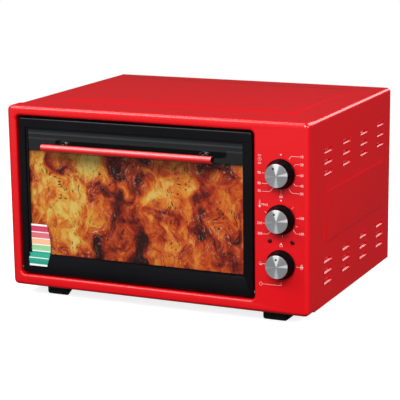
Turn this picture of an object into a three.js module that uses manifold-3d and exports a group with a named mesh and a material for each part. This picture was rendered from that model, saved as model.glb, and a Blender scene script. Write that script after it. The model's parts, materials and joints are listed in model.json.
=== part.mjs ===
// An electric bench-top oven. A red pressed-steel cabinet stands on four feet, with a black framed glass
// door on the left that drops open on two pins, and three knobs in a column on the right.
// Seen from the front, X runs to the right, Y to the back and Z up. All sizes are in millimetres.

import * as THREE from "three";
import { mergeVertices } from "three/addons/utils/BufferGeometryUtils.js";
import Module from "manifold-3d";

const wasm = await Module();
wasm.setup();

// Cabinet
const cabinetWidth = 500;
const cabinetHeight = 287;
const cabinetDepth = 380;
const footHeight = 18.5;
const sheet = 0.8;
const thinSheet = 0.6;

// Clearances
const seatGap = 0.3;
const turningGap = 0.3;
const cutOverrun = 4;

// Facets
const cornerSteps = 4;
const bendSteps = 4;
const holeSides = 16;
const knobSides = 32;
const rodSides = 8;
const wireSides = 6;

// Front frame, with the door opening and its rolled lip
const frontEdgeRadius = 6;
const frontCornerRadius = 8;
const frontFlangeDepth = 30;
const frontFootFlangeDepth = 12;
const openingLeftMargin = 15;
const openingBottomMargin = 17.5;
const openingTopMargin = 15.3;
const controlPanelWidth = 85.5;
const openingCornerRadius = 7;
const lipRadius = 4;

// Outer cover, its pressed panels and its louvres
const coverInset = 1.5;
const coverTuck = 6;
const topPanelRise = 1.5;
const topPanelSlope = 4;
const topPanelSideMargin = 50;
const topPanelFrontMargin = 86;
const topPanelBackMargin = 42;
const topPanelCornerRadius = 14;
const sidePanelRise = 1.1;
const sidePanelSlope = 2.5;
const sidePanelFront = 73;
const sidePanelBackMargin = 32;
const sidePanelBottom = 95;
const sidePanelTopMargin = 112;
const sidePanelCornerRadius = 6;
const louvreLength = 34;
const louvreHeight = 7;
const louvreDepth = 2.8;
const louvreEndSlope = 3;
const louvreLedge = 2.4;
const louvreSlit = 0.9;
const louvreColumns = 4;
const louvreRows = 3;
const louvreRowPitch = 16.6;
const louvreFront = 69.5;
const louvreBackMargin = 32.3;
const louvreTopMargin = 48.9;
const louvreBottomMargin = 31.7;

// Base pan and feet
const panFlangeHeight = 12;
const panSlotLength = 40;
const panSlotWidth = 4;
const panSlotCount = 6;
const pan_slot_share = 0.11;
const pan_row_share = 0.5;
const footWidth = 40;
const footLength = 34;
const footFront = 27;
const footSideMargin = 45;
const footTaper = 12;
const footEdgeRadius = 4;
const footCornerRadius = 5;
const footBackMargin = 26;

// Rear panel
const rearFlangeDepth = 12;
const rearSlotWidth = 4;
const rearSlotLength = 46;
const rearSlotPitch = 12;
const rearSlotCount = 12;
const rearSlotSideMargin = 48;
const rearSlotTopMargin = 34;

// Oven cavity
const cavityMouthMargin = 16;
const cavityMouthMarginZ = 12;
const cavityBackMargin = 33.5;
const cavityCornerRadius = 10;
const cavityFlangeGapToDoor = 3.5;
const cavityFlangeWidth = 23;
const ledgeCount = 3;
const ledge_pitch_share = 0.289;
const ledgeReach = 8;
const ledgeThickness = 12;
const ledgeTipThickness = 7;
const ledgeInset = 22;
const supportWidth = 180;
const supportDepth = 22;
const supportBackMargin = 60;

// Heating elements
const elementRadius = 3.5;
const elementBendRadius = 34;
const elementFront = 92;
const elementBackMargin = 84.5;
const elementLeftMargin = 26;
const elementWallDistance = 18;
const elementTail = 12;
const elementPlateMargin = 14;
const elementPlateHeight = 22;
const elementPlateCorner = 5;
const elementPlateThickness = 1.5;
const elementBossRadius = 6;
const elementBossLength = 8;
const hookWidth = 8;

// Rack and tray
const rackSideGap = 2;
const rackFrameRadius = 2.6;
const rackBraceRadius = 2.2;
const rackWireRadius = 1.5;
const rackWireCount = 17;
const rackBackMargin = 14;
const rackCornerRadius = 16;
const rackFront = 12;
const rackWireSink = 0.9;
const trayBackMargin = 16;
const trayRimWidth = 8.5;
const trayDepth = 26;
const trayElementGap = 9.5;
const trayTaper = 5;
const trayFloorRadius = 4;
const trayCornerRadius = 16;
const trayWall = 1;
const trayFront = 14;

// Door
const doorSideGap = 2.8;
const doorBottomGap = 3.5;
const doorSetBack = 2;
const doorThickness = 15;
const doorEdgeRadius = 3;
const doorCornerRadius = 5;
const stileWidth = 12;
const topRailHeight = 14.7;
const bottomRailHeight = 29;
const sillHeight = 4;
const railGrooveDepth = 0.6;
const railGrooveWidth = 0.8;
const rebateWidth = 4;
const rebateDepth = 2;
const glassThickness = 3.5;
const glassMargin = 6;
const glassCornerRadius = 4;
const cardThickness = 0.8;
const cardTopMargin = 48.8;
const panelWindowInset = 8;
const sealWidth = 5;
const sealThickness = 2.6;
const sealOffset = 5;
const sealBottom = 46;

// Handle
const handleTopMargin = 41;
const handleEndMargin = 54.8;
const handleBarHeight = 10.8;
const handleBarDepth = 7;
const handleEdgeRadius = 5;
const handleWall = 1.4;
const handleReach = 25;
const backingOverhang = 1;
const backingHeight = 10.4;
const backingDepth = 5;
const backingEndRadius = 4.5;
const postEndMargin = 24;
const postRadius = 4.5;
const postCollarRadius = 7.5;
const postCollarLength = 2.5;
const screwRadius = 2;
const screwHeadRadius = 4;
const screwHeadFlatRadius = 2.8;
const screwHeadHeight = 2.2;
const screwBite = 8;

// Door hinges
const hingeHeight = 27.5;
const hingeSetBack = 9;
const hingePinRadius = 2.5;
const hingePlateThickness = 2;
const hingePlateHeight = 34;
const hingePlateHeel = 3;
const hingePlateSideGap = 0.8;
const hingePlateEdgeGap = 3;
const bushWall = 0.9;
const bushFlangeWidth = 1.6;
const bushFlangeThickness = 1;
const leverThickness = 2;
const leverArm = 16;
const leverHalfWidth = 5;
const leverEndRadius = 4.5;
const leverPinGap = 0.1;
const leverPegRadius = 1.5;
const leverPegLength = 5;
const springRadius = 3.4;
const springWireRadius = 0.7;
const springCurls = 9;
const springCurlSteps = 8;
const springWireSides = 5;
const springCurlPitch = 3;
const springTail = 5.5;
const anchorThickness = 1.5;
const anchorWidth = 8;
const anchorRise = 5;

// Controls
const control_middle_share = 0.503;
const knob_pitch_share = 0.235;
const knobRadius = 22;
const knobFrontRadius = 17.8;
const knobHeight = 18.3;
const knobSkirtHeight = 3.5;
const knobWall = 2.2;
const knobEdgeRadius = 1.2;
const knobRimStep = 0.4;
const knobStandOff = 1.2;
const knobHubRadius = 7;
const capThickness = 1.6;
const capEdge = 0.5;
const capDotRadius = 1.3;
const capDotOffset = 11.2;
const capDotTurns = [-24, -17, -3];
const shaftRadius = 3;
const shaftFlat = 1.9;
const shaftHoleRadius = 4.2;
const shaftGrip = 10;
const timerWidth = 44;
const timerSpacing = 15;
const timerDepth = 30;
const bellRadius = 23;
const bellDepth = 11;
const bellWall = 1;
const bellShoulder = 6.5;
const bellCrownRadius = 16;
const bellSides = 24;
const bellPostRadius = 4;
const thermostatWidth = 34;
const thermostatSpacing = 23;
const thermostatDepth = 24;
const capillaryRadius = 1.2;
const capillaryBendRadius = 10;
const capillaryDrop = 51;
const capillaryDepth = 118;
const capillaryRun = 60;
const bulbRadius = 3;
const bulbLength = 84;
const bulbWallDistance = 10;
const selectorWidth = 38;
const selectorDepth = 28;
const tabWidth = 6.3;
const tabLength = 8;
const tabThickness = 0.8;
const tabCount = 4;
const tabPitch = 9;
const mountPlateThickness = 1.5;
const mountPlateMargin = 8;
const mountPlateSetIn = 16;
const mountPlateCorner = 4;
const bodyCorner = 2;
const pilotSpacing = 35.2;
const pilotRadius = 3.2;
const pilotProud = 1.6;
const pilotCollarRadius = 5.2;
const pilotCollarThickness = 1.5;
const pilotLength = 24;
const pilotTipRadius = 2.2;

// Inside the control compartment
const shieldSetIn = 18.5;
const shieldFront = 40;
const shieldBack = 24;
const shieldTopGap = 26;
const shieldFootWidth = 10;
const shieldWindowMargin = 10;
const blockWidth = 34;
const blockHeight = 22;
const blockDepth = 26;
const blockBackMargin = 20;
const loomRadius = 3;
const loomBranchRadius = 1.8;
const loomSetBack = 42;
const loomOffset = 11;
const loomBendRadius = 9;
const glandHeight = 40;
const glandRadius = 8;
const glandFlangeRadius = 12;
const glandFlangeThickness = 3;
const glandBoreRadius = 4;
const glandLength = 20;
const glandEdge = 1;

// Places worked out from the sizes
const halfWidth = cabinetWidth / 2;
const openingWidth = cabinetWidth - openingLeftMargin - controlPanelWidth;
const openingHeight = cabinetHeight - openingBottomMargin - openingTopMargin;
const cabinetBottom = footHeight;
const cabinetTop = cabinetBottom + cabinetHeight;
const cabinetMiddle = (cabinetBottom + cabinetTop) / 2;
const openingLeft = openingLeftMargin - halfWidth;
const openingCentre = openingLeft + openingWidth / 2;
const openingRight = openingLeft + openingWidth;
const openingBottom = cabinetBottom + openingBottomMargin;
const openingMiddle = openingBottom + openingHeight / 2;
const controlCentre = (openingRight + halfWidth) / 2;
const controlMiddle = cabinetBottom + control_middle_share * cabinetHeight;
const knobPitch = knob_pitch_share * cabinetHeight;
const knobHeights = [controlMiddle + knobPitch, controlMiddle, controlMiddle - knobPitch];
const timerHeight = knobPitch - timerSpacing;
const thermostatHeight = knobPitch - thermostatSpacing;
const pilotZ = (knobHeights[1] + knobHeights[2]) / 2;
const coverHalf = halfWidth - coverInset;
const coverTop = cabinetTop - coverInset;
const coverEdgeRadius = frontCornerRadius - coverInset;
const insideHalf = coverHalf - sheet - seatGap;
const sidePanelHeight = cabinetHeight - sidePanelBottom - sidePanelTopMargin;
const louvreSpace = cabinetDepth - louvreFront - louvreBackMargin - louvreLength;
const louvreColumnPitch = louvreSpace / (louvreColumns - 1);
const louvreGroupHeight = (louvreRows - 1) * louvreRowPitch + louvreHeight;
const louvreGroups = [cabinetBottom + louvreBottomMargin, cabinetTop - louvreTopMargin - louvreGroupHeight];

const doorWidth = openingWidth - 2 * doorSideGap;
const doorHeight = openingHeight - doorSideGap - doorBottomGap;
const doorBottom = openingBottom + doorBottomGap;
const doorMiddle = doorBottom + doorHeight / 2;
const doorFront = doorSetBack;
const doorBack = doorFront + doorThickness;
const rebateFace = doorFront + rebateDepth;
const frameBack = rebateFace + sheet;
const glassFront = frameBack + seatGap;
const glassBack = glassFront + glassThickness;
const cardFront = glassBack + seatGap;
const cardBack = cardFront + cardThickness;
const windowWidth = doorWidth - 2 * stileWidth;
const windowBottom = doorBottom + bottomRailHeight;
const windowTop = doorBottom + doorHeight - topRailHeight;
const windowHeight = windowTop - windowBottom;
const windowMiddle = (windowTop + windowBottom) / 2;
const clearWidth = windowWidth - 2 * rebateWidth;
const clearHeight = windowHeight - 2 * rebateWidth;
const clearBottom = windowMiddle - clearHeight / 2;
const glassWidth = clearWidth + 2 * glassMargin;
const glassHeight = clearHeight + 2 * glassMargin;
const panelBack = doorBack;
const panelFront = panelBack - thinSheet;
const panelWindowWidth = clearWidth - 2 * panelWindowInset;
const panelWindowBottom = clearBottom + panelWindowInset;
const cardTop = doorBottom + doorHeight - cardTopMargin;
const panelWindowTop = cardTop - panelWindowInset;

const behindFront = sheet + seatGap;
const cavityFlangeFace = doorBack + cavityFlangeGapToDoor;
const lipDepth = cavityFlangeFace - seatGap;
const cavityWidth = openingWidth - 2 * cavityMouthMargin;
const cavityHeight = openingHeight - 2 * cavityMouthMarginZ;
const cavityLeft = openingCentre - cavityWidth / 2;
const cavityRight = openingCentre + cavityWidth / 2;
const cavityBottom = openingMiddle - cavityHeight / 2;
const cavityTop = openingMiddle + cavityHeight / 2;
const panSlotPitch = pan_slot_share * openingWidth;
const panSlotRowPitch = pan_row_share * cabinetDepth;
const cavityBack = cabinetDepth - cavityBackMargin;
const cavityDepth = cavityBack - cavityFlangeFace;
const capillaryZ = cavityTop - capillaryDrop;
const ledgeLowest = cavityBottom + elementWallDistance + trayElementGap + trayDepth;
const ledgeRoom = cavityTop - elementWallDistance - ledgeLowest;
const ledgeTops = Array.from({ length: ledgeCount }, (_, i) =>
  ledgeLowest + i * ledge_pitch_share * ledgeRoom);

const rackLength = cavityDepth - rackFront - rackBackMargin;
const trayLength = cavityDepth - trayFront - trayBackMargin;

const hingeAxisY = hingeSetBack;
const hingeAxisZ = cabinetBottom + hingeHeight;
const springStart = hingeAxisY + leverArm + leverPegRadius + seatGap;
const springLength = 2 * springTail + springCurls * springCurlPitch;
const anchorFront = springStart + springLength + seatGap;
const handleZ = doorBottom + doorHeight - handleTopMargin;
const handleLength = doorWidth - 2 * handleEndMargin;
const postSpacing = handleLength - 2 * postEndMargin;
const backingLength = handleLength + 2 * backingOverhang;
const coreHalf = handleBarHeight / 2 - handleWall - seatGap;
const handleBack = -handleReach + handleBarDepth + seatGap + backingDepth;
const postFoot = glassFront - seatGap;
const panFront = frontFootFlangeDepth + seatGap;
const panBack = cabinetDepth - thinSheet - seatGap;
const shieldFace = cavityRight + thinSheet + elementPlateThickness + elementBossLength + shieldSetIn;

const paint = (color, roughness, metalness) =>
  new THREE.MeshStandardMaterial({ color, roughness, metalness });
const materials = {
  redPaint: paint(0xe02028, 0.28, 0.1),
  blackEnamel: paint(0x111214, 0.35, 0.1),
  blackPlastic: paint(0x0c0c0d, 0.45, 0),
  rubber: paint(0x0b0b0b, 0.8, 0),
  brushedMetal: paint(0xb9bcbf, 0.32, 1),
  chrome: paint(0xd5d7da, 0.15, 1),
  steel: paint(0x9a9da0, 0.45, 0.9),
  cavityEnamel: paint(0x2b2c30, 0.4, 0.2),
  elementSheath: paint(0x4a4643, 0.5, 0.7),
  glass: paint(0x1a1f20, 0.05, 0),
  card: paint(0xb5622a, 0.6, 0),
  ceramic: paint(0xe6e1d6, 0.55, 0),
  amber: paint(0x5a1208, 0.25, 0),
  cable: paint(0x8d2b20, 0.6, 0),
  silicone: paint(0x3a3a3c, 0.7, 0),
};

// A closed geometry as a solid that can be joined and cut.
function solidOf(geometry) {
  const bare = geometry.index ? geometry.toNonIndexed() : geometry.clone();
  bare.deleteAttribute("normal");
  bare.deleteAttribute("uv");
  const merged = mergeVertices(bare);
  const triVerts = new Uint32Array(merged.index.array);
  return new wasm.Manifold(
    new wasm.Mesh({ numProp: 3, vertProperties: merged.attributes.position.array, triVerts }),
  );
}

// A solid's surface as a geometry that three.js can show.
function geometryOf(solid) {
  const mesh = solid.getMesh();
  const geometry = new THREE.BufferGeometry();
  geometry.setAttribute("position", new THREE.BufferAttribute(mesh.vertProperties, 3));
  geometry.setIndex(new THREE.BufferAttribute(mesh.triVerts, 1));
  const flat = geometry.toNonIndexed();
  flat.computeVertexNormals();
  return flat;
}

const joined = (solids) => solids.reduce((whole, next) => whole.add(next));
const cutBy = (solid, tools) => tools.reduce((left, tool) => left.subtract(tool), solid);

// The directions of an outline's two coordinates and of its extrusion.
const outlineFrames = {
  x: new THREE.Matrix4().makeBasis(
    new THREE.Vector3(0, 1, 0), new THREE.Vector3(0, 0, 1), new THREE.Vector3(1, 0, 0)),
  y: new THREE.Matrix4().makeBasis(
    new THREE.Vector3(1, 0, 0), new THREE.Vector3(0, 0, 1), new THREE.Vector3(0, -1, 0)),
  z: new THREE.Matrix4(),
};

// A box between two opposite corners.
function block(a, b) {
  const low = new THREE.Vector3(...a);
  const size = new THREE.Vector3(...b).sub(low);
  const box = new THREE.BoxGeometry(Math.abs(size.x), Math.abs(size.y), Math.abs(size.z));
  return solidOf(box.translate(low.x + size.x / 2, low.y + size.y / 2, low.z + size.z / 2));
}

// An outline in the plane across an axis, extruded along it. Across X it is (y, z), across Y (x, z),
// across Z (x, y).
function extruded(axis, outline, from, to) {
  const shape = outline instanceof THREE.Shape ? outline : new THREE.Shape(outline);
  const depth = to - from;
  const settings = { depth, bevelEnabled: false, curveSegments: bendSteps };
  const geometry = new THREE.ExtrudeGeometry(shape, settings);
  const start = axis === "y" ? -to : from;
  return solidOf(geometry.translate(0, 0, start).applyMatrix4(outlineFrames[axis]));
}

// A round bar along an axis, with its middle at (u, v) in the plane across it.
function bar(axis, radius, from, to, u, v, sides = holeSides) {
  const outline = Array.from({ length: sides }, (_, i) => {
    const turn = (2 * Math.PI * (i + 0.5)) / sides;
    return new THREE.Vector2(u + radius * Math.cos(turn), v + radius * Math.sin(turn));
  });
  return extruded(axis, outline, from, to);
}

// A rectangle with round corners, as points that run anticlockwise.
function roundedRectangle(width, height, radius, u = 0, v = 0, steps = cornerSteps) {
  const corners = [[1, 1], [-1, 1], [-1, -1], [1, -1]];
  return corners.flatMap(([a, b], quarter) =>
    Array.from({ length: steps + 1 }, (_, i) => {
      const turn = (Math.PI / 2) * (quarter + i / steps);
      return new THREE.Vector2(
        u + a * (width / 2 - radius) + radius * Math.cos(turn),
        v + b * (height / 2 - radius) + radius * Math.sin(turn),
      );
    }),
  );
}

// A flat outline set in space across an axis.
function ring(axis, outline, at) {
  const points = outline.map((p) => new THREE.Vector3(p.x, p.y, axis === "y" ? -at : at));
  return points.map((p) => p.applyMatrix4(outlineFrames[axis]));
}

// Rings of equally many points joined into one skin, closed by flat ends or, for a loop, on itself.
function loft(rings, loop = false) {
  const count = rings[0].length;
  const faces = [];
  const spans = loop ? rings.length : rings.length - 1;
  for (let i = 0; i < spans; i++) {
    const near = i * count;
    const far = ((i + 1) % rings.length) * count;
    for (let j = 0; j < count; j++) {
      const next = (j + 1) % count;
      faces.push(near + j, near + next, far + next, near + j, far + next, far + j);
    }
  }
  const last = (rings.length - 1) * count;
  for (let j = 1; j < count - 1 && !loop; j++) {
    faces.push(0, j + 1, j, last, last + j, last + j + 1);
  }
  const geometry = new THREE.BufferGeometry().setFromPoints(rings.flat());
  geometry.setIndex(faces);
  return solidOf(geometry);
}

// A box with rounded long corners and a rounded front edge, which runs back along Y from its front face.
function pressedBox(width, height, corner, edge, front, back, u, v) {
  const edgeRings = Array.from({ length: bendSteps + 1 }, (_, i) => {
    const turn = (Math.PI / 2) * (i / bendSteps);
    const inset = edge * (1 - Math.sin(turn));
    const outline = roundedRectangle(width - 2 * inset, height - 2 * inset, corner - inset, u, v);
    return { outline, at: front + edge * (1 - Math.cos(turn)) };
  });
  const last = edgeRings[edgeRings.length - 1];
  const rings = [...edgeRings, { outline: last.outline, at: back }];
  return loft(rings.reverse().map(({ outline, at }) => ring("y", outline, at)));
}

// A body turned about the Y axis from (radius, distance in front of its seat) points.
function turned(profile, sides = knobSides) {
  const points = profile.map(([radius, forward]) => new THREE.Vector2(radius, forward));
  return solidOf(new THREE.LatheGeometry(points, sides).rotateX(Math.PI));
}

// Corner points joined by straight runs, with each corner between them rounded.
function rounded(corners, radius, steps = cornerSteps) {
  const line = [corners[0]];
  for (let i = 1; i < corners.length - 1; i++) {
    const back = corners[i - 1].clone().sub(corners[i]).normalize();
    const ahead = corners[i + 1].clone().sub(corners[i]).normalize();
    const half = back.angleTo(ahead) / 2;
    const middle = back.clone().add(ahead).normalize();
    const centre = corners[i].clone().addScaledVector(middle, radius / Math.sin(half));
    const start = corners[i].clone().addScaledVector(back, radius / Math.tan(half)).sub(centre);
    const end = corners[i].clone().addScaledVector(ahead, radius / Math.tan(half)).sub(centre);
    const pivot = start.clone().cross(end).normalize();
    for (let k = 0; k <= steps; k++) {
      const turn = (start.angleTo(end) * k) / steps;
      line.push(centre.clone().add(start.clone().applyAxisAngle(pivot, turn)));
    }
  }
  line.push(corners[corners.length - 1]);
  return line;
}

// A wire or rod of round section along a line of points, open or as a loop.
function rod(line, radius, sides = rodSides, loop = false) {
  const last = line.length - 1;
  const wrap = (i) => (loop ? (i + line.length) % line.length : Math.min(Math.max(i, 0), last));
  const tangents = line.map((_, i) => line[wrap(i + 1)].clone().sub(line[wrap(i - 1)]).normalize());
  const across = new THREE.Vector3(0, 0, 1);
  if (Math.abs(tangents[0].z) > Math.SQRT1_2) across.set(1, 0, 0);
  let normal = across.addScaledVector(tangents[0], -across.dot(tangents[0])).normalize();
  const rings = line.map((point, i) => {
    normal = normal.clone().addScaledVector(tangents[i], -normal.dot(tangents[i])).normalize();
    const side = tangents[i].clone().cross(normal);
    return Array.from({ length: sides }, (_, k) => {
      const turn = (2 * Math.PI * (k + 0.5)) / sides;
      return point.clone()
        .addScaledVector(normal, radius * Math.cos(turn))
        .addScaledVector(side, radius * Math.sin(turn));
    });
  });
  return loft(rings, loop);
}

const oven = new THREE.Group();

// Adds a solid to the oven as a named piece. The solid's own origin is set at a place.
function add(name, solid, material, place = [0, 0, 0]) {
  const mesh = new THREE.Mesh(geometryOf(solid), material);
  mesh.name = name;
  mesh.position.set(...place);
  oven.add(mesh);
}

// The red front: a pressed panel with folded flanges, the door opening's rolled lip and the control holes.
function frontFrame() {
  const shell = pressedBox(cabinetWidth, cabinetHeight, frontCornerRadius, frontEdgeRadius,
    0, frontFlangeDepth, 0, cabinetMiddle);
  const hollow = pressedBox(cabinetWidth - 2 * sheet, cabinetHeight - 2 * sheet, frontCornerRadius - sheet,
    frontEdgeRadius - sheet, sheet, frontFlangeDepth + cutOverrun, 0, cabinetMiddle);
  const openingRing = (grow, at) => ring("y",
    roundedRectangle(openingWidth + 2 * grow, openingHeight + 2 * grow, openingCornerRadius + grow,
      openingCentre, openingMiddle), at);
  const lipRings = (grow, from, to) => {
    const bend = Array.from({ length: bendSteps + 1 }, (_, i) => {
      const turn = (Math.PI / 2) * (i / bendSteps);
      return openingRing(lipRadius * (1 - Math.sin(turn)) + grow,
        from + lipRadius * (1 - Math.cos(turn)));
    });
    return [...bend, openingRing(grow, to)].reverse();
  };
  const lip = loft(lipRings(sheet, sheet / 2, lipDepth));
  const throat = loft([...lipRings(0, 0, lipDepth + cutOverrun), openingRing(lipRadius, -cutOverrun)]);
  const straight = halfWidth - frontCornerRadius;
  const footRelief = block([-straight, frontFootFlangeDepth, 0],
    [straight, frontFlangeDepth + cutOverrun, cabinetBottom + frontCornerRadius]);
  const shaftHoles = knobHeights.map((z) => bar("y", shaftHoleRadius, -cutOverrun, cutOverrun,
    controlCentre, z));
  const pilotHoles = [-1, 1].map((side) => bar("y", pilotRadius + seatGap, -cutOverrun, cutOverrun,
    controlCentre + (side * pilotSpacing) / 2, pilotZ));
  const bushHoles = bar("x", hingePinRadius + turningGap + bushWall + seatGap,
    openingLeft - cutOverrun, openingRight + cutOverrun, hingeAxisY, hingeAxisZ);
  const folded = cutBy(shell.subtract(hollow).add(lip), [throat, footRelief, bushHoles]);
  add("front_frame", cutBy(folded, [...shaftHoles, ...pilotHoles]), materials.redPaint);
}

// One inward louvre: a dent in a side sheet with a slit along its deepest line. Side is -1 or 1.
function louvreTools(side, front, bottom) {
  const slitBottom = bottom + louvreLedge;
  const ringAt = (distance, inset, low, high, grow) => {
    const [y0, y1] = [front + inset - grow, front + louvreLength - inset + grow];
    return [[y0, low - grow], [y1, low - grow], [y1, high + grow], [y0, high + grow]]
      .map(([y, z]) => new THREE.Vector3(side * (coverHalf - distance), y, z));
  };
  const mouth = (grow) => ringAt(-seatGap, 0, bottom, bottom + louvreHeight, grow);
  const floor = (distance, grow) =>
    ringAt(distance, louvreEndSlope, slitBottom, slitBottom + louvreSlit, grow);
  const through = louvreDepth + thinSheet + cutOverrun;
  const tool = (rings) => loft(side > 0 ? rings : rings.reverse());
  return {
    skin: tool([floor(louvreDepth + thinSheet, thinSheet), mouth(thinSheet)]),
    pocket: tool([floor(through, 0), floor(louvreDepth, 0), mouth(0)]),
  };
}

// A raised pressing in a flat sheet: the outer and inner forms of a low plateau with sloping edges.
function plateau(axis, width, height, corner, slope, u, v, low, rise) {
  const outward = Math.sign(rise);
  const form = (foot, tip, grow) => {
    const [wide, high] = [width + grow, height + grow];
    const rings = [
      ring(axis, roundedRectangle(wide, high, corner, u, v), foot),
      ring(axis, roundedRectangle(wide - 2 * slope, high - 2 * slope, corner - slope, u, v), tip),
    ];
    const rising = axis === "y" ? -outward : outward;
    return loft(rising > 0 ? rings : rings.reverse());
  };
  const back = low - outward * sheet;
  return {
    outer: form(low - (outward * sheet) / 2, low + rise, 0),
    inner: form(back, back + rise, -sheet),
  };
}

// The red wrap: top and both sides in one bent sheet, with raised panels and inward louvres.
function outerCover() {
  const section = new THREE.Shape();
  const skin = (inset, reversed) => {
    const radius = coverEdgeRadius - inset;
    const half = coverHalf - inset;
    const top = coverTop - inset;
    if (!reversed) {
      section.moveTo(half, cabinetBottom);
      section.absarc(half - radius, top - radius, radius, 0, Math.PI / 2, false);
      section.absarc(radius - half, top - radius, radius, Math.PI / 2, Math.PI, false);
      section.lineTo(-half, cabinetBottom);
    } else {
      section.lineTo(-half, cabinetBottom);
      section.absarc(radius - half, top - radius, radius, Math.PI, Math.PI / 2, true);
      section.absarc(half - radius, top - radius, radius, Math.PI / 2, 0, true);
      section.lineTo(half, cabinetBottom);
    }
  };
  skin(0, false);
  skin(sheet, true);
  const wrap = extruded("y", section, frontFlangeDepth - coverTuck, cabinetDepth);

  const topDepth = cabinetDepth - topPanelFrontMargin - topPanelBackMargin;
  const topPanel = plateau("z", cabinetWidth - 2 * topPanelSideMargin, topDepth, topPanelCornerRadius,
    topPanelSlope, 0, topPanelFrontMargin + topDepth / 2, coverTop, topPanelRise);
  const sideDepth = cabinetDepth - sidePanelFront - sidePanelBackMargin;
  const sidePanels = [-1, 1].map((side) => plateau("x", sideDepth, sidePanelHeight, sidePanelCornerRadius,
    sidePanelSlope, sidePanelFront + sideDepth / 2, cabinetBottom + sidePanelBottom + sidePanelHeight / 2,
    side * coverHalf, side * sidePanelRise));
  const panels = [topPanel, ...sidePanels];
  const louvres = [];
  for (const side of [-1, 1]) {
    for (const height of louvreGroups) {
      for (let column = 0; column < louvreColumns; column++) {
        for (let row = 0; row < louvreRows; row++) {
          louvres.push(louvreTools(side, louvreFront + column * louvreColumnPitch,
            height + row * louvreRowPitch));
        }
      }
    }
  }
  const cornerRelief = block([-cabinetWidth, 0, 0],
    [cabinetWidth, frontFlangeDepth + seatGap, cabinetBottom + frontCornerRadius + seatGap]);
  const outside = [-1, 1].map((side) => block([side * coverHalf, -cutOverrun, 0],
    [side * (coverHalf + cutOverrun), cabinetDepth + cutOverrun, cabinetTop]));
  const skins = cutBy(joined(louvres.map((l) => l.skin)), outside);
  const raised = joined([wrap, skins, ...panels.map((p) => p.outer)]);
  const pockets = joined(louvres.map((l) => l.pocket));
  add("outer_cover", cutBy(raised, [cornerRelief, ...panels.map((p) => p.inner), pockets]),
    materials.redPaint);
}

// The steel floor of the cabinet, with side flanges, air slots and two lugs that hold the door springs.
function basePan() {
  const straight = halfWidth - frontCornerRadius - seatGap;
  const tongue = block([-straight, panFront, cabinetBottom],
    [straight, frontFlangeDepth + cutOverrun, cabinetBottom + thinSheet]);
  const pan = block([-insideHalf, frontFlangeDepth + seatGap, cabinetBottom],
    [insideHalf, panBack, cabinetBottom + thinSheet]);
  const flanges = [-1, 1].map((side) => block(
    [side * insideHalf, frontFlangeDepth + seatGap, cabinetBottom],
    [side * (insideHalf - thinSheet), panBack - seatGap, cabinetBottom + panFlangeHeight]));
  const lugs = [-1, 1].map((side) => {
    const middle = springLine(side);
    return block([middle - anchorWidth / 2, anchorFront, cabinetBottom],
      [middle + anchorWidth / 2, anchorFront + anchorThickness, hingeAxisZ + anchorRise]);
  });
  const slots = [];
  for (const row of [-1, 1]) {
    for (let i = 0; i < panSlotCount; i++) {
      const x = openingCentre + (i - (panSlotCount - 1) / 2) * panSlotPitch;
      const y = (panFront + panBack) / 2 + (row * panSlotRowPitch) / 2;
      slots.push(block([x - panSlotWidth / 2, y - panSlotLength / 2, 0],
        [x + panSlotWidth / 2, y + panSlotLength / 2, cabinetBottom + panFlangeHeight]));
    }
  }
  add("base_pan", cutBy(joined([pan, tongue, ...flanges, ...lugs]), slots), materials.steel);
}

// The four moulded feet, each a block with rounded lower edges that narrows to the back.
function feet() {
  const middle = halfWidth - footSideMargin - footWidth / 2;
  for (const [name, side] of [["left", -1], ["right", 1]]) {
    const outline = (inset) => roundedRectangle(footWidth - 2 * inset, footLength - 2 * inset,
      footCornerRadius - inset).map((p) => {
      const back_share = 1 / 2 + p.y / footLength;
      const inner_share = 1 / 2 - (side * p.x) / footWidth;
      return new THREE.Vector2(p.x + side * footTaper * back_share * inner_share, p.y);
    });
    const rings = Array.from({ length: bendSteps }, (_, i) => {
      const turn = (Math.PI / 2) * (i / (bendSteps - 1));
      return ring("z", outline(footEdgeRadius * (1 - Math.sin(turn))),
        footEdgeRadius * (1 - Math.cos(turn)));
    });
    const foot = loft([...rings, ring("z", outline(0), footHeight - seatGap)]);
    add(`foot_front_${name}`, foot, materials.rubber, [side * middle, footFront + footLength / 2, 0]);
    add(`foot_rear_${name}`, foot, materials.rubber,
      [side * middle, cabinetDepth - footBackMargin - footLength / 2, 0]);
  }
}

// The back sheet, with flanges inside the wrap, two rows of air slots and the hole for the cord gland.
function rearPanel() {
  const height = coverTop - sheet - seatGap - cabinetBottom;
  const corner = coverEdgeRadius;
  const outline = (inset) => roundedRectangle(2 * (insideHalf - inset), height - 2 * inset,
    corner - inset, 0, cabinetBottom + height / 2);
  const dish = extruded("y", outline(0), cabinetDepth - rearFlangeDepth, cabinetDepth);
  const hollow = extruded("y", outline(thinSheet), 0, cabinetDepth - thinSheet);
  const panRelief = block([-cabinetWidth, 0, 0],
    [cabinetWidth, cabinetDepth - thinSheet, cabinetBottom + panFlangeHeight + seatGap]);
  const slots = [];
  for (const side of [-1, 1]) {
    for (let i = 0; i < rearSlotCount; i++) {
      const x = side * (insideHalf - rearSlotSideMargin - i * rearSlotPitch);
      const top = coverTop - rearSlotTopMargin;
      slots.push(block([x - rearSlotWidth / 2, 0, top - rearSlotLength],
        [x + rearSlotWidth / 2, cabinetDepth + cutOverrun, top]));
    }
  }
  const glandHole = bar("y", glandRadius + seatGap, 0, cabinetDepth + cutOverrun, controlCentre,
    cabinetBottom + glandHeight);
  add("rear_panel", cutBy(dish, [hollow, panRelief, glandHole, ...slots]), materials.steel);
}

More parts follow.
